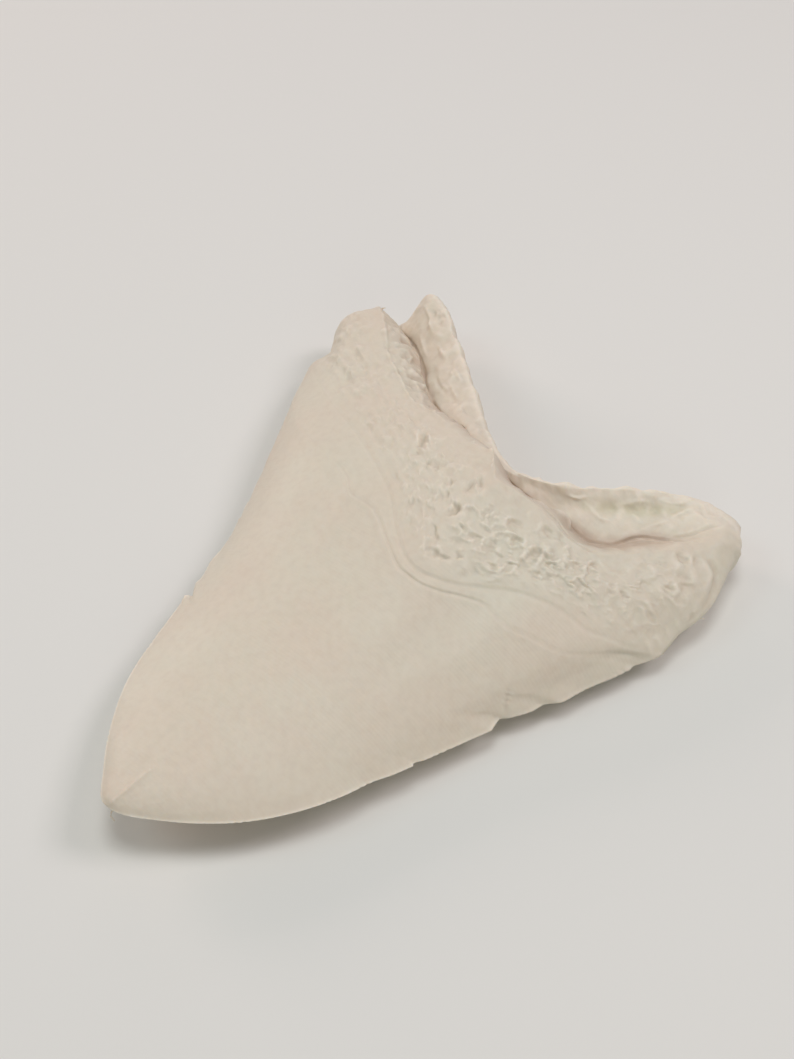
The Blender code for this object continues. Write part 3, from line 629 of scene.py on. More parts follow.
def through(xs, ys, x):
    """A smooth curve through the points (xs, ys) that never overshoots them, read at x."""
    xs = np.asarray(xs, float)
    ys = np.asarray(ys, float)
    ys = ys.reshape(len(xs), -1)
    x = np.clip(np.asarray(x, float), xs[0], xs[-1])
    steps = np.diff(xs)[:, None]
    slopes = np.diff(ys, axis=0) / steps
    tangents = np.zeros_like(ys)
    tangents[0] = slopes[0]
    tangents[-1] = slopes[-1]
    before, after = slopes[:-1], slopes[1:]
    same_way = before * after > 0
    total = np.where(same_way, before + after, 1.0)
    tangents[1:-1] = np.where(same_way, 2 * before * after / total, 0.0)
    i = np.clip(np.searchsorted(xs, x, side="right") - 1, 0, len(xs) - 2)
    h = steps[i]
    u = ((x - xs[i])[:, None]) / h
    return (
        (1 + 2 * u) * (1 - u) ** 2 * ys[i]
        + u * (1 - u) ** 2 * h * tangents[i]
        + u**2 * (3 - 2 * u) * ys[i + 1]
        + u**2 * (u - 1) * h * tangents[i + 1]
    )


def rows_along():
    """Places from the point, 0, to the back of the root, 1, with finer steps in the root."""
    blade = np.linspace(0, BAND_OUTER_AT, BLADE_ROWS + 1)[:-1]
    root = np.linspace(BAND_OUTER_AT, 1, ROOT_ROWS + 1)
    return np.concatenate([blade, root])


def columns_across():
    """Places from the left edge, -1, to the right edge, 1, closer together near the edges."""
    s = np.linspace(-1, 1, COLUMNS + 1)
    return s * (1 + EDGE_CROWDING) - EDGE_CROWDING * s**3


def cross_section(powers, places):
    """Height across the tooth, from 0 at its two edges to 1 in the middle."""
    return (1 - np.abs(places) ** powers[0]) ** powers[1]


def edge_height(distance):
    """Height of the cutting edges at a distance from the point."""
    left = np.clip(1 - distance / EDGE_LENGTH, 0, 1)
    return SHOULDER_Z + (TIP_Z - SHOULDER_Z) * left**EDGE_RISE_POWER


def edge_x(edge, y):
    """The edge's x at a distance y from the point, which is round, so the points are joined over root y."""
    points = np.array(edge, float)
    return through(np.sqrt(points[:, 1]), points[:, 0], [np.sqrt(y)])[0, 0]


def set_in(wear, y):
    """How far chips and bites set an edge in at a distance from the point."""
    return through(*np.array(wear, float).T, [y])[0, 0]


def line(points, places):
    """A crossing line's x, y and, where it has them, heights, read at the places from side to side."""
    points = np.array(points, float)
    low, high = points[0, 0], points[-1, 0]
    x = low + (high - low) * (1 + places) / 2
    return np.column_stack([x, through(points[:, 0], points[:, 1:], x)])


def smoothed(row, reach):
    """A crossing line with its ends in place and its bends evened out over a share of its length."""
    width = max(1, round(2 * reach * len(row)))
    weights = np.hanning(2 * width + 1)
    weights = weights / weights.sum()
    padded = np.pad(row, ((width, width), (0, 0)), mode="reflect", reflect_type="odd")
    return np.column_stack([np.convolve(values, weights, mode="valid") for values in padded.T])


def blade_row(share, places):
    """x, y and height across the blade at a share of its length, bent more and more like the band."""
    outer = line(BAND_OUTER, places)
    left_y = LEFT_EDGE[-1][1] * share
    right_y = RIGHT_EDGE[-1][1] * share
    left_x = edge_x(LEFT_EDGE, left_y)
    right_x = edge_x(RIGHT_EDGE, right_y)
    part = (1 + places) / 2
    bend = outer[:, 1] - (LEFT_EDGE[-1][1] * (1 - part) + RIGHT_EDGE[-1][1] * part)
    x = left_x + (right_x - left_x) * part
    y = left_y + (right_y - left_y) * part + bend * share**BEND_POWER
    x = x + set_in(LEFT_WEAR, left_y) * np.clip(-places, 0, 1) ** WEAR_POWER
    x = x - set_in(RIGHT_WEAR, right_y) * np.clip(places, 0, 1) ** WEAR_POWER
    rise = through(*np.array(CREST_RISE, float).T, [y.min()])[0, 0]
    side = edge_height(left_y) * (1 - part) + edge_height(right_y) * part
    powers = np.array(TIP_POWERS) * (1 - share) + np.array(BAND_POWERS) * share
    return np.column_stack([x, y, side + rise * cross_section(powers, places)])


def root_lines(places):
    """The crossing lines from the band to the rim, and how far along the surface each one lies."""
    lobes = cross_section(LOBE_POWERS, places)
    slab = cross_section(ROOT_POWERS, places)
    outer = blade_row(1.0, places)
    ridge, ledge, groove = (line(points, places) for points in (RIDGE, LEDGE, GROOVE))
    far_wall, rim = (line(points, places) for points in (FAR_WALL, RIM))
    for row in (ridge, ledge, groove, far_wall, rim):
        row[:, 2] = ROOT_SIDE_Z + (row[:, 2] - ROOT_SIDE_Z) * lobes
    inner = line(BAND_INNER, places)
    to_inner = np.hypot(*(inner - outer[:, :2]).T)
    to_ridge = np.hypot(*(ridge[:, :2] - inner).T)
    climbed = to_inner / (to_inner + to_ridge)
    inner = np.column_stack([inner, outer[:, 2] + (ridge[:, 2] - outer[:, 2]) * climbed])

    def between(share, ends):
        row = inner * (1 - share) + smoothed(ridge, SMOOTH_REACH * (1 - share)) * share
        full = FACE_SWELL + LEFT_FULLNESS * np.clip(-places, 0, 1) ** SIDE_POWER
        row[:, 2] += full * np.sin(np.pi * share) * slab
        for end, side in zip(ends, (-1, 1)):
            here = row[0 if side < 0 else -1, :2]
            row[:, :2] += (np.array(end) - here) * (np.clip(places * side, 0, 1) ** SIDE_POWER)[:, None]
        return row

    neck = between(NECK_SHARE, NECK_ENDS)
    lobe = between(LOBE_SHARE, LOBE_ENDS)
    face = np.stack([outer, inner, neck, lobe, ridge])
    near_wall = np.stack([ridge, ledge, groove])
    far_side = np.stack([groove, far_wall, rim])
    return (
        ((BAND_OUTER_AT, BAND_INNER_AT, NECK_AT, LOBE_AT, RIDGE_AT), face),
        ((RIDGE_AT, LEDGE_AT, GROOVE_AT), near_wall),
        ((GROOVE_AT, FAR_WALL_AT, RIM_AT), far_side),
    )


def top_surface(along, places):
    """The upper surface as x, y and height on the grid of rows and columns."""
    stretches = root_lines(places)
    rim = stretches[-1][1][-1]
    back = line(BACK, places)
    rows = []
    for at in along:
        if at < BAND_OUTER_AT:
            rows.append(blade_row((at / BAND_OUTER_AT) ** POINT_CROWDING, places))
            continue
        if at > RIM_AT:
            turn = (at - RIM_AT) / (1 - RIM_AT) * np.pi / 2
            plan = rim[:, :2] + (back - rim[:, :2]) * np.sin(turn)
            height = ROOT_SIDE_Z + (rim[:, 2] - ROOT_SIDE_Z) * np.cos(turn)
            rows.append(np.column_stack([plan, height]))
            continue
        for places_at, lines in stretches:
            if at <= places_at[-1]:
                rows.append(through(places_at, lines.reshape(len(lines), -1), [at])[0].reshape(-1, 3))
                break
    return np.stack(rows)


def bottom_heights(top, along, places):
    """Heights of the lower surface: the blade's belly, the root's outer face and the rounding at the back."""
    belly = cross_section(BELLY_POWERS, places)
    slab = cross_section(ROOT_POWERS, places)
    arch = ARCH_Z * (1 - (places / ARCH_HALF_WIDTH) ** 2)
    bottom = np.zeros(top.shape[:2])
    for i, at in enumerate(along):
        x, y, z = top[i].T
        root = fades(at, BAND_OUTER_AT, RIDGE_AT)
        shape = belly * (1 - root) + slab * root
        inwards = np.clip(np.hypot(x - top[-1, :, 0], y - top[-1, :, 1]) / BACK_ROUNDING, 0, 1)
        shape = shape * np.sqrt(1 - (1 - inwards) ** 2)
        side = (z[0] * (1 - places) + z[-1] * (1 + places)) / 2
        drop = through(*np.array(BELLY_DROP, float).T, y)[:, 0]
        face = (side - drop) * (1 - root) + arch * root
        bottom[i] = side - (side - face) * shape
    return np.maximum(bottom, 0)


def distance_to(points, x, y):
    """Distance from each x and y to the nearest place on a line of points."""
    points = np.array(points, float)[:, :2]
    nearest = np.full(x.shape, np.inf)
    for (ax, ay), (bx, by) in zip(points[:-1], points[1:]):
        dx, dy = bx - ax, by - ay
        along = np.clip(((x - ax) * dx + (y - ay) * dy) / (dx * dx + dy * dy), 0, 1)
        nearest = np.minimum(nearest, np.hypot(x - ax - along * dx, y - ay - along * dy))
    return nearest


def bump(distance, height, half_width):
    """A rounded rise of the given height and half width, by distance from its middle."""
    return height * np.exp(-((distance / half_width) ** 2))


def wandered(x, y, wanders, seed):
    """The places moved about by smooth noise, given as how far and how large its lumps are."""
    over, up = x, y
    for number, (far, size) in enumerate(wanders):
        over = over + far * lumps(x, y, size, seed + 2 * number)
        up = up + far * lumps(x, y, size, seed + 2 * number + 1)
    return over, up


def pitted(x, y):
    """Depth of the pits, each an oval hollow with a low rim, made uneven by a small wander."""
    depth = np.zeros_like(x)
    x, y = wandered(x, y, PIT_WANDER, PIT_SEED)
    for px, py, half_length, half_width, turn, deep in PITS:
        c, s = np.cos(np.radians(turn)), np.sin(np.radians(turn))
        along = ((x - px) * s + (y - py) * c) / (half_length * PIT_SPREAD)
        over = ((x - px) * c - (y - py) * s) / (half_width * PIT_SPREAD)
        apart = along**2 + over**2
        depth += deep * (1 - PIT_RIM * apart) * np.exp(-apart)
    return depth * PIT_DEEPNESS


def lumps(x, y, size, seed):
    """Smooth noise between -1 and 1 with lumps of the given size."""
    spots = np.column_stack([x.ravel() / size, y.ravel() / size, np.full(x.size, float(seed))])
    return np.array([noise.noise(Vector(spot)) for spot in spots]).reshape(x.shape)


def scattered(cell, seed):
    """Numbers between 0 and 1, one for each whole-numbered cell and always the same for it."""
    mixed = np.zeros(cell.shape[1:], np.uint64)
    for numbers, factor in zip(cell, PLACE_FACTORS):
        counted = (numbers.astype(np.int64) + PLACE_START).astype(np.uint64)
        mixed = mixed * np.uint64(ROW_FACTOR) + counted * np.uint64(factor)
    mixed = mixed + np.uint64(seed * SEED_FACTOR)
    mixed = (mixed ^ (mixed >> np.uint64(SHIFTS[0]))) * np.uint64(LAST_FACTOR)
    mixed = mixed ^ (mixed >> np.uint64(SHIFTS[1]))
    return (mixed & np.uint64(NUMBER_MASK)).astype(float) / NUMBER_MASK


def cells(u, v, seed):
    """Cells round scattered spots: distance from the border and from the spot, and the cell's number."""
    nearest = np.full(u.shape, np.inf)
    second = np.full(u.shape, np.inf)
    own = np.zeros(u.shape)
    room = 1 - 2 * SPOT_MARGIN
    column, row = np.floor(u), np.floor(v)
    for over in (-1, 0, 1):
        for up in (-1, 0, 1):
            cell = np.stack([column + over, row + up])
            spot_u = cell[0] + SPOT_MARGIN + room * scattered(cell, seed)
            spot_v = cell[1] + SPOT_MARGIN + room * scattered(cell, seed + 1)
            apart = np.hypot(u - spot_u, v - spot_v)
            closer = apart < nearest
            second = np.where(closer, nearest, np.minimum(second, apart))
            own = np.where(closer, scattered(cell, seed + 2), own)
            nearest = np.where(closer, apart, nearest)
    return second - nearest, nearest, own


def fades(values, low, high):
    """0 below low, 1 above high, and smooth between."""
    t = np.clip((values - low) / (high - low), 0, 1)
    return t * t * (3 - 2 * t)


def softened(top):
    """The upper surface with the root's creases rounded a little, and rounded more at the lobes' ends."""
    top = top.copy()
    rows = slice(BLADE_ROWS + 1, -1)
    for step in range(END_SOFTENING):
        x = top[rows, :, :1]
        share = 1.0 if step < SOFTENING else fades(-x, *SOFT_LEFT_END) + fades(x, *SOFT_RIGHT_END)
        between = (top[:-2] + top[2:])[BLADE_ROWS:] / 2 - top[rows]
        between[:, [0, -1]] = 0
        top[rows] += SOFTENED_SHARE * share * between
    return top


def normals(top):
    """The direction that each place of the upper surface faces."""
    facing = np.cross(np.gradient(top, axis=1), np.gradient(top, axis=0))
    return facing / np.maximum(np.linalg.norm(facing, axis=2, keepdims=True), 1e-9)


def height_at(x, y, flat):
    """The surface's height at a place, from its nearest points."""
    apart = np.hypot(flat[:, 0] - x, flat[:, 1] - y)
    near = np.argpartition(apart, NEAREST_POINTS)[:NEAREST_POINTS]
    weights = 1 / (apart[near] + NEAREST_EASE) ** 2
    return np.sum(flat[near, 2] * weights) / np.sum(weights)


def laid_on(points, flat):
    """A smooth path through some places, in small steps, with the surface's height at each."""
    points = np.array(points, float)
    length = np.concatenate([[0], np.cumsum(np.hypot(*np.diff(points, axis=0).T))])
    steps = max(3, math.ceil(length[-1] / MARK_STEP) + 1)
    path = through(length, points, np.linspace(0, length[-1], steps))
    return np.column_stack([path, [height_at(x, y, flat) for x, y in path]])


def drawn(marks, top):
    """Rise of some marks at each place of the surface. Each is a line that fades towards its ends."""
    flat = top.reshape(-1, 3)
    rise = np.zeros(len(flat))
    for height, half_width, points in marks:
        path = laid_on(points, flat)
        reach = MARK_REACH * half_width
        near = np.all((flat > path.min(axis=0) - reach) & (flat < path.max(axis=0) + reach), axis=1)
        spots = flat[near]
        apart = np.full(len(spots), np.inf)
        share = np.zeros(len(spots))
        for i, step in enumerate(np.diff(path, axis=0)):
            part = np.clip((spots - path[i]) @ step / (step @ step), 0, 1)
            distance = np.linalg.norm(spots - path[i] - part[:, None] * step, axis=1)
            closer = distance < apart
            apart[closer] = distance[closer]
            share[closer] = (i + part[closer]) / (len(path) - 1)
        wide = (apart / half_width) ** 2
        fade = MARK_END + (1 - MARK_END) * np.sqrt(np.clip(4 * share * (1 - share), 0, 1))
        rise[near] += height * fade * (1 - MARK_LIP * wide) * np.exp(-wide)
    return rise.reshape(top.shape[:2])


def specked(top):
    """Rise of the single specks of plastic."""
    flat = top.reshape(-1, 3)
    rise = np.zeros(len(flat))
    for x, y, height, half_width in SPECKS:
        spot = (x, y, height_at(x, y, flat))
        rise += bump(np.linalg.norm(flat - spot, axis=1), height, half_width)
    return rise.reshape(top.shape[:2])


def netted(x, y):
    """Rise of the net of low ridges and of the crumbs between the pits."""
    over, up = wandered(x, y, NET_WANDER, WANDER_SEED)
    border, _, own = cells(over / NET_CELL, up / NET_CELL / NET_STRETCH, NET_SEED)
    size, *broken = NET_BREAKS
    ridges = bump(border, *NET_RIDGE) * fades(lumps(x, y, size, BREAK_SEED), *broken)
    size, *strong = NET_PATCHES
    patches = NET_WEAK + (1 - NET_WEAK) * fades(lumps(x, y, size, PATCH_SEED), *strong)
    net = (ridges - NET_DEPTH * own * fades(border, *NET_FLOOR)) * patches
    spacing, crumbed, height, half_width = CRUMBS
    _, apart, lucky = cells(x / spacing, y / spacing, CRUMB_SEED)
    net = net + (lucky < crumbed) * bump(apart, height, half_width)
    share = NET_START + sum(gain * fades(x, *where) for gain, *where in NET_GAINS)
    loss, *where = NET_LOSS
    return net * share * (1 - loss * fades(x, *where))


def lumpy(x, y, kinds, seed):
    """Rise of lumps of a few kinds, each given as its height and size."""
    return sum(height * lumps(x, y, size, seed + number) for number, (height, size) in enumerate(kinds))


def banded(x, y, at, places):
    """Rise of the band's two grooves and of the lip outside them."""
    strength = 1 - (1 - FAINT_LEFT[0]) * fades(-x, *FAINT_LEFT[1:])
    strength = strength - (1 - FAINT_RIGHT[0]) * fades(x, *FAINT_RIGHT[1:])
    from_outer = distance_to(line(BAND_OUTER, places), x, y)
    from_inner = distance_to(line(BAND_INNER, places), x, y)
    lip = np.where(at < BAND_OUTER_AT, bump(from_outer - BAND_LIP[1], *BAND_LIP), 0)
    return strength * (lip - bump(from_outer, *BAND_GROOVE) - bump(from_inner, *INNER_GROOVE))


def ridged_tip(x, y):
    """Rise of the ridge at the point and of the roughness on its right."""
    height, size, length = TIP_ROUGHNESS
    share = np.clip(1 - y / length, 0, 1) * fades(x, *TIP_ROUGH_SIDE)
    return bump(distance_to(TIP_RIDGE, x, y), *TIP_RIDGE_FORM) + height * share * lumps(x, y, size, TIP_SEED)


def wrinkled(x, y):
    """Rise of the long wrinkles of the left half."""
    height, length, width = WRINKLES
    c, s = np.cos(np.radians(WRINKLE_TURN)), np.sin(np.radians(WRINKLE_TURN))
    wrinkle = lumps((x * c - y * s) / length, (x * s + y * c) / width, 1, WRINKLE_SEED)
    return height * wrinkle * fades(-x, *WRINKLE_SIDE)


def streaked(x, y):
    """Rise of the streaks that run along the blade."""
    height, width, length = BLADE_STREAKS
    return height * lumps(x / width, y / length, 1, STREAK_SEED)


def ragged(x, y, at):
    """Rise of the ragged strip beside the groove of the left lobe."""
    from_ledge = (at - LEDGE_AT) / (GROOVE_AT - LEDGE_AT)
    rise = np.zeros_like(x)
    for number, (height, size) in enumerate(RAGGED_LUMPS):
        uneven = lumps(x, y, size, RAGGED_SEED + number)
        rise += height * (RAGGED_SLANT * uneven + RAGGED_LIFT - np.abs(uneven))
    return rise * np.exp(-RAGGED_TIGHTNESS * from_ledge**2) * np.clip(-x / RAGGED_FROM, 0, 1)


def dropped(x, y):
    """How far the right lobe's side drops beyond its crease."""
    crease_x, crease_y = np.array(LOBE_CREASE, float)[::-1].T
    beyond = fades(x - np.interp(y, crease_y, crease_x), 0, LOBE_CREASE_WIDTH)
    from_end = fades(np.minimum(y - crease_y[0], crease_y[-1] - y), 0, LOBE_CREASE_FADE)
    return LOBE_CREASE_DROP * beyond * from_end


def evened(values):
    """Values on the grid, each evened out with those round it."""
    for _ in range(EVENING_STEPS):
        edged = np.pad(values, 1, mode="edge")
        around = edged[:-2, 1:-1] + edged[2:, 1:-1] + edged[1:-1, :-2] + edged[1:-1, 2:]
        values = (around + values) / 5
    return values


def on_far_wall(at):
    """How much of a place is on the far wall, 0 to 1, by how far along the surface it lies."""
    return fades(at, GROOVE_AT, FAR_WALL_AT) * (1 - fades(at, RIM_AT, 1))


def relief(top, along, places, look):
    """Rise of the upper surface's small forms."""
    x, y = top[:, :, 0], top[:, :, 1]
    at = along[:, None]
    rooted = fades(at, BAND_INNER_AT, NECK_AT)
    on_face = rooted * (1 - fades(at, LOBE_AT, RIDGE_AT))
    form = banded(x, y, at, places) + ridged_tip(x, y) + specked(top) - look.pit_depth * pitted(x, y)
    for marks in (FACE_MARKS, WALL_MARKS, END_MARKS):
        form = form + drawn(marks, top)
    form = form + on_face * (netted(x, y) + wrinkled(x, y)) + ragged(x, y, at)
    form = form + lumpy(x, y, WIDE_LUMPS, WIDE_SEED) + (1 - rooted) * streaked(x, y)
    form = form + rooted * lumpy(x, y, ROOT_LUMPS, ROOT_SEED)
    form = form + on_far_wall(at) * lumpy(x, y, WALL_LUMPS, WALL_SEED)
    return (form - dropped(x, y)) * cross_section(SIDE_POWERS, places)


def tinted(form, top, along):
    """Painted shade and light of the upper surface with its small forms, and the root's share, in the order
    of their names.
    """
    x = top[:, :, 0]
    at = along[:, None]
    bend = (form - evened(form)) / BEND_TINTED
    near = fades(at, RIDGE_AT, LEDGE_AT) * (1 - fades(at, GROOVE_AT, WALL_TINT_AT))
    near = near * (1 - fades(x, *END_UNTINTED))
    below = np.maximum(top[RIDGE_ROW, :, 2] - top[:, :, 2], 0) / WALL_HOLLOW
    # Painted shade: small hollows and the groove's near wall are darkened.
    hollow = BEND_HOLLOW * np.clip(-bend, 0, 1) + near * (below + WALL_TINT * fades(x, *WALL_TINTED))
    # Painted light: small rises, the cutting edges, the rim and the far wall are painted lighter.
    bright = np.clip(bend, 0, 1) + bump(distance_from_edges(top), 1, EDGE_GLOW) * (at < BAND_INNER_AT)
    glow, *where = RIGHT_WALL_GLOW
    bright = bright + bump(at - RIM_AT, *RIM_GLOW) + on_far_wall(at) * (WALL_GLOW + glow * fades(x, *where))
    rooted = fades(at, BAND_INNER_AT, NECK_AT) + 0 * x
    # The olive painted shade in the far wall's trough is drawn as a mark.
    return hollow, bright, drawn((TROUGH_SHADE,), top), rooted


def distance_from_edges(top):
    """Distance of each place from the nearer cutting edge, across the tooth."""
    x = top[:, :, 0]
    return np.minimum(x - x[:, :1], x[:, -1:] - x)


def notched(top, along, places, look):
    """The upper surface with the fine notches of its two cutting edges."""
    for side, column in ((-1, 0), (1, -1)):
        edge = top[:, column]
        steps = np.hypot(*np.diff(edge[:, :2], axis=0).T)
        length = np.concatenate([[0], np.cumsum(steps)])
        phase = length / (look.notch_pitch / MM)
        for share, wave, start in NOTCH_WANDERS:
            phase = phase + share * np.sin(length / wave + start * side)
        groups = math.prod(np.sin(length / wave + start * side) for wave, start in NOTCH_GROUPS)
        depth = look.notch_depth / MM * (NOTCH_WEAK + (1 - NOTCH_WEAK) * fades(groups, *NOTCH_FULL))
        depth = depth * (1 - fades(along, BAND_OUTER_AT, BAND_INNER_AT)) * fades(length, *NOTCH_START)
        scallop = (depth * (1 - np.abs(np.sin(np.pi * phase)) ** NOTCH_POWER))[:, None]
        half = np.abs(top[:, -1, 0] - top[:, 0, 0])[:, None] / 2
        inwards = (1 - np.clip(places * side, 0, 1)) * (half + LEAST_HALF)
        lowered, width = NOTCH_SLOPE
        top[:, :, 0] -= side * scallop * np.exp(-inwards / NOTCH_REACH)
        top[:, :, 2] -= scallop * bump(inwards, lowered, width) * (inwards > 0)
    return top


def woven(numbers, rows, columns):
    """Faces between the chosen rows and columns of a grid of point numbers. The edges use every point."""
    last_row, last_column = numbers.shape[0] - 1, numbers.shape[1] - 1
    near, far = EDGE_COLUMNS, last_column - EDGE_COLUMNS
    faces = []
    for left, right in zip(columns[:-1], columns[1:]):
        at_edge = left < near or right > far
        cuts = range(last_row + 1) if at_edge else rows
        for low, high in zip(cuts[:-1], cuts[1:]):
            up = range(low, high + 1) if at_edge or right == far else (low, high)
            down = range(low, high + 1) if at_edge or left == near else (low, high)
            back = range(left, right + 1) if high == last_row else (left, right)
            ring = [numbers[i, right] for i in up]
            ring += [numbers[high, j] for j in reversed(back)]
            ring += [numbers[i, left] for i in reversed(down)]
            faces.append(list(dict.fromkeys(ring)))
    return faces


def stretch(numbers, row_step, column_step):
    """Faces of a grid of point numbers that uses only some rows and columns between its edges."""
    last_row = numbers.shape[0] - 1
    rows = [*range(0, last_row, row_step), last_row]
    columns = list(range(EDGE_COLUMNS))
    columns += list(range(EDGE_COLUMNS, COLUMNS - EDGE_COLUMNS, column_step))
    columns += list(range(COLUMNS - EDGE_COLUMNS, COLUMNS + 1))
    return woven(numbers, rows, columns)


def closed_surface(look):
    """Points, faces and tints of the whole tooth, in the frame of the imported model."""
    along, places = rows_along(), columns_across()
    flat = top_surface(along, places)
    bottom = bottom_heights(flat, along, places)
    top = softened(flat)
    rise = relief(top, along, places, look)
    tints = tinted(rise, top, along)
    top = notched(top + normals(top) * rise[:, :, None], along, places, look)
    over = np.arange(rise.size).reshape(rise.shape)
    over[0] = 0
    under = over + over.size
    under[:, 0], under[:, -1], under[-1], under[0] = over[:, 0], over[:, -1], over[-1], 0
    below = np.dstack([top[:, :, :2], bottom])
    points = np.vstack([top.reshape(-1, 3), below.reshape(-1, 3)])
    blade = slice(0, BLADE_ROWS + 1)
    root = slice(BLADE_ROWS, None)
    faces = stretch(over[blade], *BLADE_STEPS) + stretch(over[root], 1, 1)
    undersides = stretch(under[blade], *UNDER_BLADE_STEPS) + stretch(under[root], *UNDER_ROOT_STEPS)
    faces += [face[::-1] for face in undersides]
    used = np.unique(np.concatenate([np.array(face) for face in faces]))
    place = np.zeros(len(points), int)
    place[used] = np.arange(len(used))
    tints = [np.concatenate([tint.ravel(), np.zeros(tint.size)])[used] for tint in tints]
    return points[used] - MIDDLE, [place[face].tolist() for face in faces], dict(zip(TINTS, tints))


def add_node(material, kind, settings=(), values=(), links=()):
    """Adds a node with its settings, its sockets' values, and links given as socket: (node, output)."""
    made = material.node_tree.nodes.new(kind)
    for name, value in dict(settings).items():
        setattr(made, name, value)
    for socket, value in dict(values).items():
        made.inputs[socket].default_value = value
    for socket, (source, output) in dict(links).items():
        material.node_tree.links.new(source.outputs[output], made.inputs[socket])
    return made


def printed_ivory_pla(look):
    """PLA plastic, printed in thin layers.

    It looks ivory and satin, light soaks into it a little, and faint layer lines run across it. Painted shade
    and painted light are mixed into its colour.
    """
    material = bpy.data.materials.new("printed_ivory_pla")
    material.use_nodes = True
    shader = material.node_tree.nodes["Principled BSDF"]
    for socket, value in PLASTIC.items():
        shader.inputs[socket].default_value = value
    link = material.node_tree.links.new
    place = add_node(material, "ShaderNodeTexCoord")
    sources = {}
    for name, size, detail in NOISES:
        values = {"Scale": 1 / (size * MM), "Detail": detail}
        links = {"Vector": (place, "Object")}
        sources[name] = add_node(material, "ShaderNodeTexNoise", values=values, links=links)
    for name in TINTS:
        sources[name] = add_node(material, "ShaderNodeAttribute", {"attribute_name": name})
    colour = None
    for code, strength, name, low, high in TINTING:
        values = {"From Min": low, "From Max": high, "To Max": strength}
        links = {"Value": (sources[name], "Fac")}
        share = add_node(material, "ShaderNodeMapRange", values=values, links=links)
        links = {"Factor": (share, "Result")}
        values = {MIX_A: (*look.ivory, 1), MIX_B: (*linear(code), 1)}
        if colour:
            links[MIX_A] = (colour, MIX_RESULT)
        colour = add_node(material, "ShaderNodeMix", {"data_type": "RGBA"}, values, links)
    link(colour.outputs[MIX_RESULT], shader.inputs["Base Color"])
    sheen = add_node(
        material,
        "ShaderNodeMapRange",
        values=SHEEN,
        links={"Value": (sources["patches"], "Fac")},
    )
    link(sheen.outputs["Result"], shader.inputs["Roughness"])
    layers = add_node(
        material,
        "ShaderNodeTexWave",
        {"wave_type": "BANDS", "bands_direction": "Y"},
        {"Scale": BAND_SPACING / look.layer_pitch, **LAYER_WAVER},
        {"Vector": (place, "Object")},
    )
    lines = add_node(
        material,
        "ShaderNodeBump",
        values={"Strength": LAYER_STRENGTH, "Distance": LAYER_HEIGHT * MM},
        links={"Height": (layers, "Fac")},
    )
    strength = add_node(
        material,
        "ShaderNodeMapRange",
        values={"To Min": BLADE_GRAIN, "To Max": ROOT_GRAIN},
        links={"Value": (sources["root"], "Fac")},
    )
    lines = add_node(
        material,
        "ShaderNodeBump",
        values={"Distance": GRAIN_HEIGHT * MM},
        links={
            "Height": (sources["grain"], "Fac"),
            "Strength": (strength, "Result"),
            "Normal": (lines, "Normal"),
        },
    )
    link(lines.outputs["Normal"], shader.inputs["Normal"])
    return material


class MakeTooth(bpy.types.Operator):
    """Makes the tooth's visible surface and its printed plastic"""

    bl_idname = "object.shark_tooth_surface"
    bl_label = "Tooth"

    def execute(self, context):
        look = context.scene.tooth_look
        points, faces, tints = closed_surface(look)
        mesh = bpy.data.meshes.new("tooth_surface")
        mesh.from_pydata((points * MM).tolist(), [], faces)
        mesh.validate()
        mesh.shade_smooth()
        for name, values in tints.items():
            mesh.attributes.new(name, "FLOAT", "POINT").data.foreach_set("value", values)
        mesh.materials.append(printed_ivory_pla(look))
        tooth = bpy.data.objects.new("tooth_surface", mesh)
        context.collection.objects.link(tooth)
        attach(tooth, "root")
        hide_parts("tooth")
        return {"FINISHED"}


def strings():
    """Points and faces of the fine strings of plastic, each a round thread that thins out to its end."""
    points, faces = [], []
    for *path, thick, thin in STRINGS:
        path = np.array(path, float)
        count = len(path)
        for number, place in enumerate(path):
            ahead = path[min(number + 1, count - 1)] - path[max(number - 1, 0)]
            side = np.cross(ahead, OFF_STRINGS)
            side = side / np.linalg.norm(side)
            other = np.cross(ahead, side)
            other = other / np.linalg.norm(other)
            radius = thick + (thin - thick) * number / (count - 1)
            for turn in np.arange(STRING_SIDES) * 2 * np.pi / STRING_SIDES:
                points.append(place + radius * (side * np.cos(turn) + other * np.sin(turn)))
        first = len(points) - count * STRING_SIDES
        rings = first + np.arange(count * STRING_SIDES).reshape(count, STRING_SIDES)
        faces.append(rings[0].tolist())
        faces.append(rings[-1][::-1].tolist())
        for low, high in zip(rings[:-1], rings[1:]):
            after_low, after_high = np.roll(low, -1), np.roll(high, -1)
            faces += np.column_stack([low, high, after_high, after_low]).tolist()
    return np.array(points) - MIDDLE, faces


class MakeStrings(bpy.types.Operator):
    """Makes the fine strings of plastic that the printer left at the point and at the two lobes"""

    bl_idname = "object.shark_tooth_strings"
    bl_label = "Strings"

    def execute(self, context):
        points, faces = strings()
        mesh = bpy.data.meshes.new("plastic_strings")
        mesh.from_pydata((points * MM).tolist(), [], faces)
        mesh.validate()
        mesh.shade_smooth()
        mesh.materials.append(bpy.data.materials["printed_ivory_pla"])
        made = bpy.data.objects.new("plastic_strings", mesh)
        context.collection.objects.link(made)
        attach(made, "root")
        return {"FINISHED"}


def pale_paint():
    """Pale matt paint, rolled on a board: it gives a plain, soft floor."""
    material = bpy.data.materials.new("pale_paint")
    material.use_nodes = True
    shader = material.node_tree.nodes["Principled BSDF"]
    shader.inputs["Base Color"].default_value = (*linear(FLOOR_COLOUR), 1)
    shader.inputs["Roughness"].default_value = FLOOR_ROUGHNESS
    return material


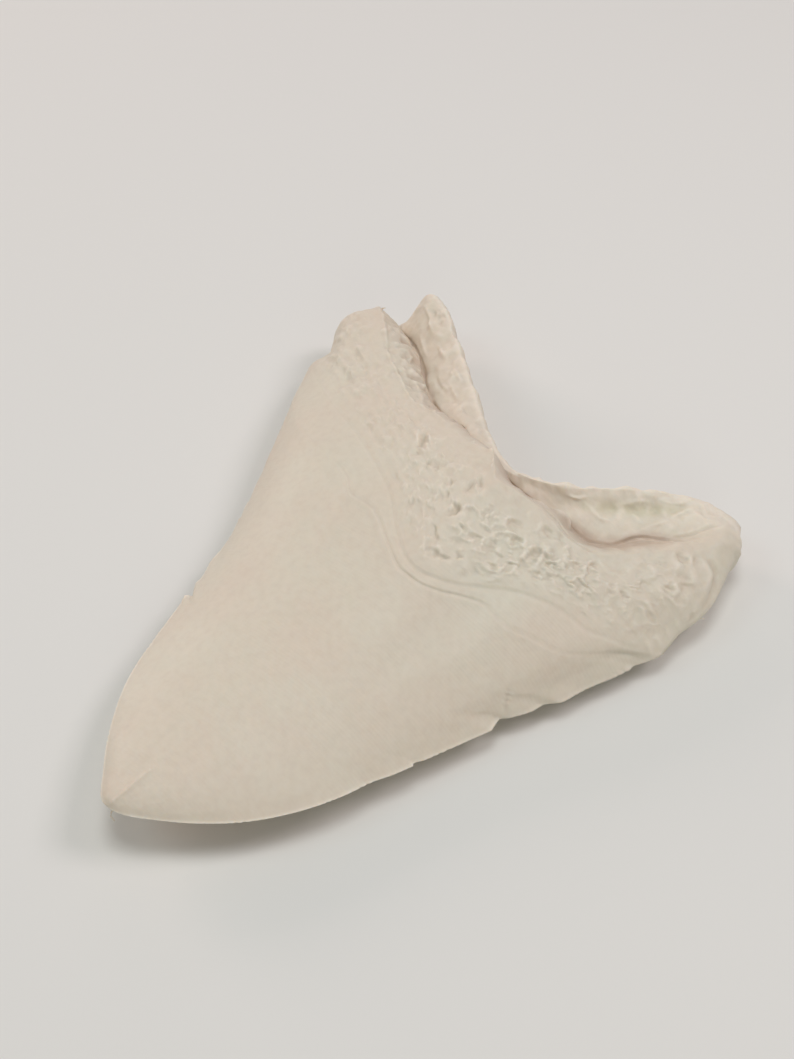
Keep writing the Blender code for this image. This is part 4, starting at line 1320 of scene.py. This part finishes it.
def aimed(context, made, azimuth, elevation, distance):
    """Puts a lamp or camera round the tooth, by angles in degrees and a distance, and aims it there."""
    turn, rise = math.radians(azimuth), math.radians(elevation)
    away = Vector((math.sin(turn) * math.cos(rise), -math.cos(turn) * math.cos(rise), math.sin(rise)))
    context.collection.objects.link(made)
    made.location = (Vector(CAMERA_AIM) + away * distance) * MM
    made.rotation_euler = away.to_track_quat("Z", "Y").to_euler()


class MakeStage(bpy.types.Operator):
    """Makes the pale floor, the soft lights and the camera"""

    bl_idname = "scene.shark_tooth_stage"
    bl_label = "Stage"

    def execute(self, context):
        look = context.scene.stage_look
        half = FLOOR_HALF
        mesh = bpy.data.meshes.new("floor")
        corners = [(-half, -half, 0), (half, -half, 0), (half, half, 0), (-half, half, 0)]
        mesh.from_pydata(corners, [], [(0, 1, 2, 3)])
        mesh.materials.append(pale_paint())
        floor = bpy.data.objects.new("floor", mesh)
        context.collection.objects.link(floor)
        world = bpy.data.worlds.new("studio")
        world.use_nodes = True
        background = world.node_tree.nodes["Background"]
        background.inputs["Color"].default_value = (*linear(ROOM_COLOUR), 1)
        background.inputs["Strength"].default_value = look.room_strength
        context.scene.world = world
        for name, azimuth, elevation, colour, power in LIGHTS:
            light = bpy.data.lights.new(name, "AREA")
            light.size = LIGHT_SIZE * MM
            light.energy = power * look.light_power
            light.color = linear(colour)
            aimed(context, bpy.data.objects.new(name, light), azimuth, elevation, LIGHT_DISTANCE)
        data = bpy.data.cameras.new("camera")
        data.sensor_width = SENSOR
        data.lens = SENSOR / 2 / math.tan(math.radians(CAMERA_VIEW_HEIGHT) / 2)
        data.clip_start = CAMERA_CLIP * MM
        camera = bpy.data.objects.new("camera", data)
        aimed(context, camera, CAMERA_AZIMUTH, CAMERA_ELEVATION, CAMERA_DISTANCE)
        context.scene.camera = camera
        context.scene.view_settings.view_transform = "Standard"
        return {"FINISHED"}


class ToothPanel(bpy.types.Panel):
    """The tooth's pieces, sizes and colours"""

    bl_idname = "VIEW3D_PT_shark_tooth"
    bl_label = "Shark tooth"
    bl_space_type = "VIEW_3D"
    bl_region_type = "UI"
    bl_category = "Tooth"

    def draw(self, context):
        for look in (context.scene.tooth_look, context.scene.stage_look):
            for name in look.__annotations__:
                self.layout.prop(look, name)
        for operator in OPERATORS:
            self.layout.operator(operator.bl_idname)


OPERATORS = (MakeTooth, MakeStrings, MakeStage)
CLASSES = (ToothLook, StageLook, *OPERATORS, ToothPanel)


def register():
    for cls in CLASSES:
        bpy.utils.register_class(cls)
    bpy.types.Scene.tooth_look = bpy.props.PointerProperty(type=ToothLook)
    bpy.types.Scene.stage_look = bpy.props.PointerProperty(type=StageLook)


def unregister():
    del bpy.types.Scene.stage_look
    del bpy.types.Scene.tooth_look
    for cls in reversed(CLASSES):
        bpy.utils.unregister_class(cls)


def main():
    register()
    bpy.ops.object.shark_tooth_surface()
    bpy.ops.object.shark_tooth_strings()
    bpy.ops.scene.shark_tooth_stage()


if __name__ == "__main__":
    main()
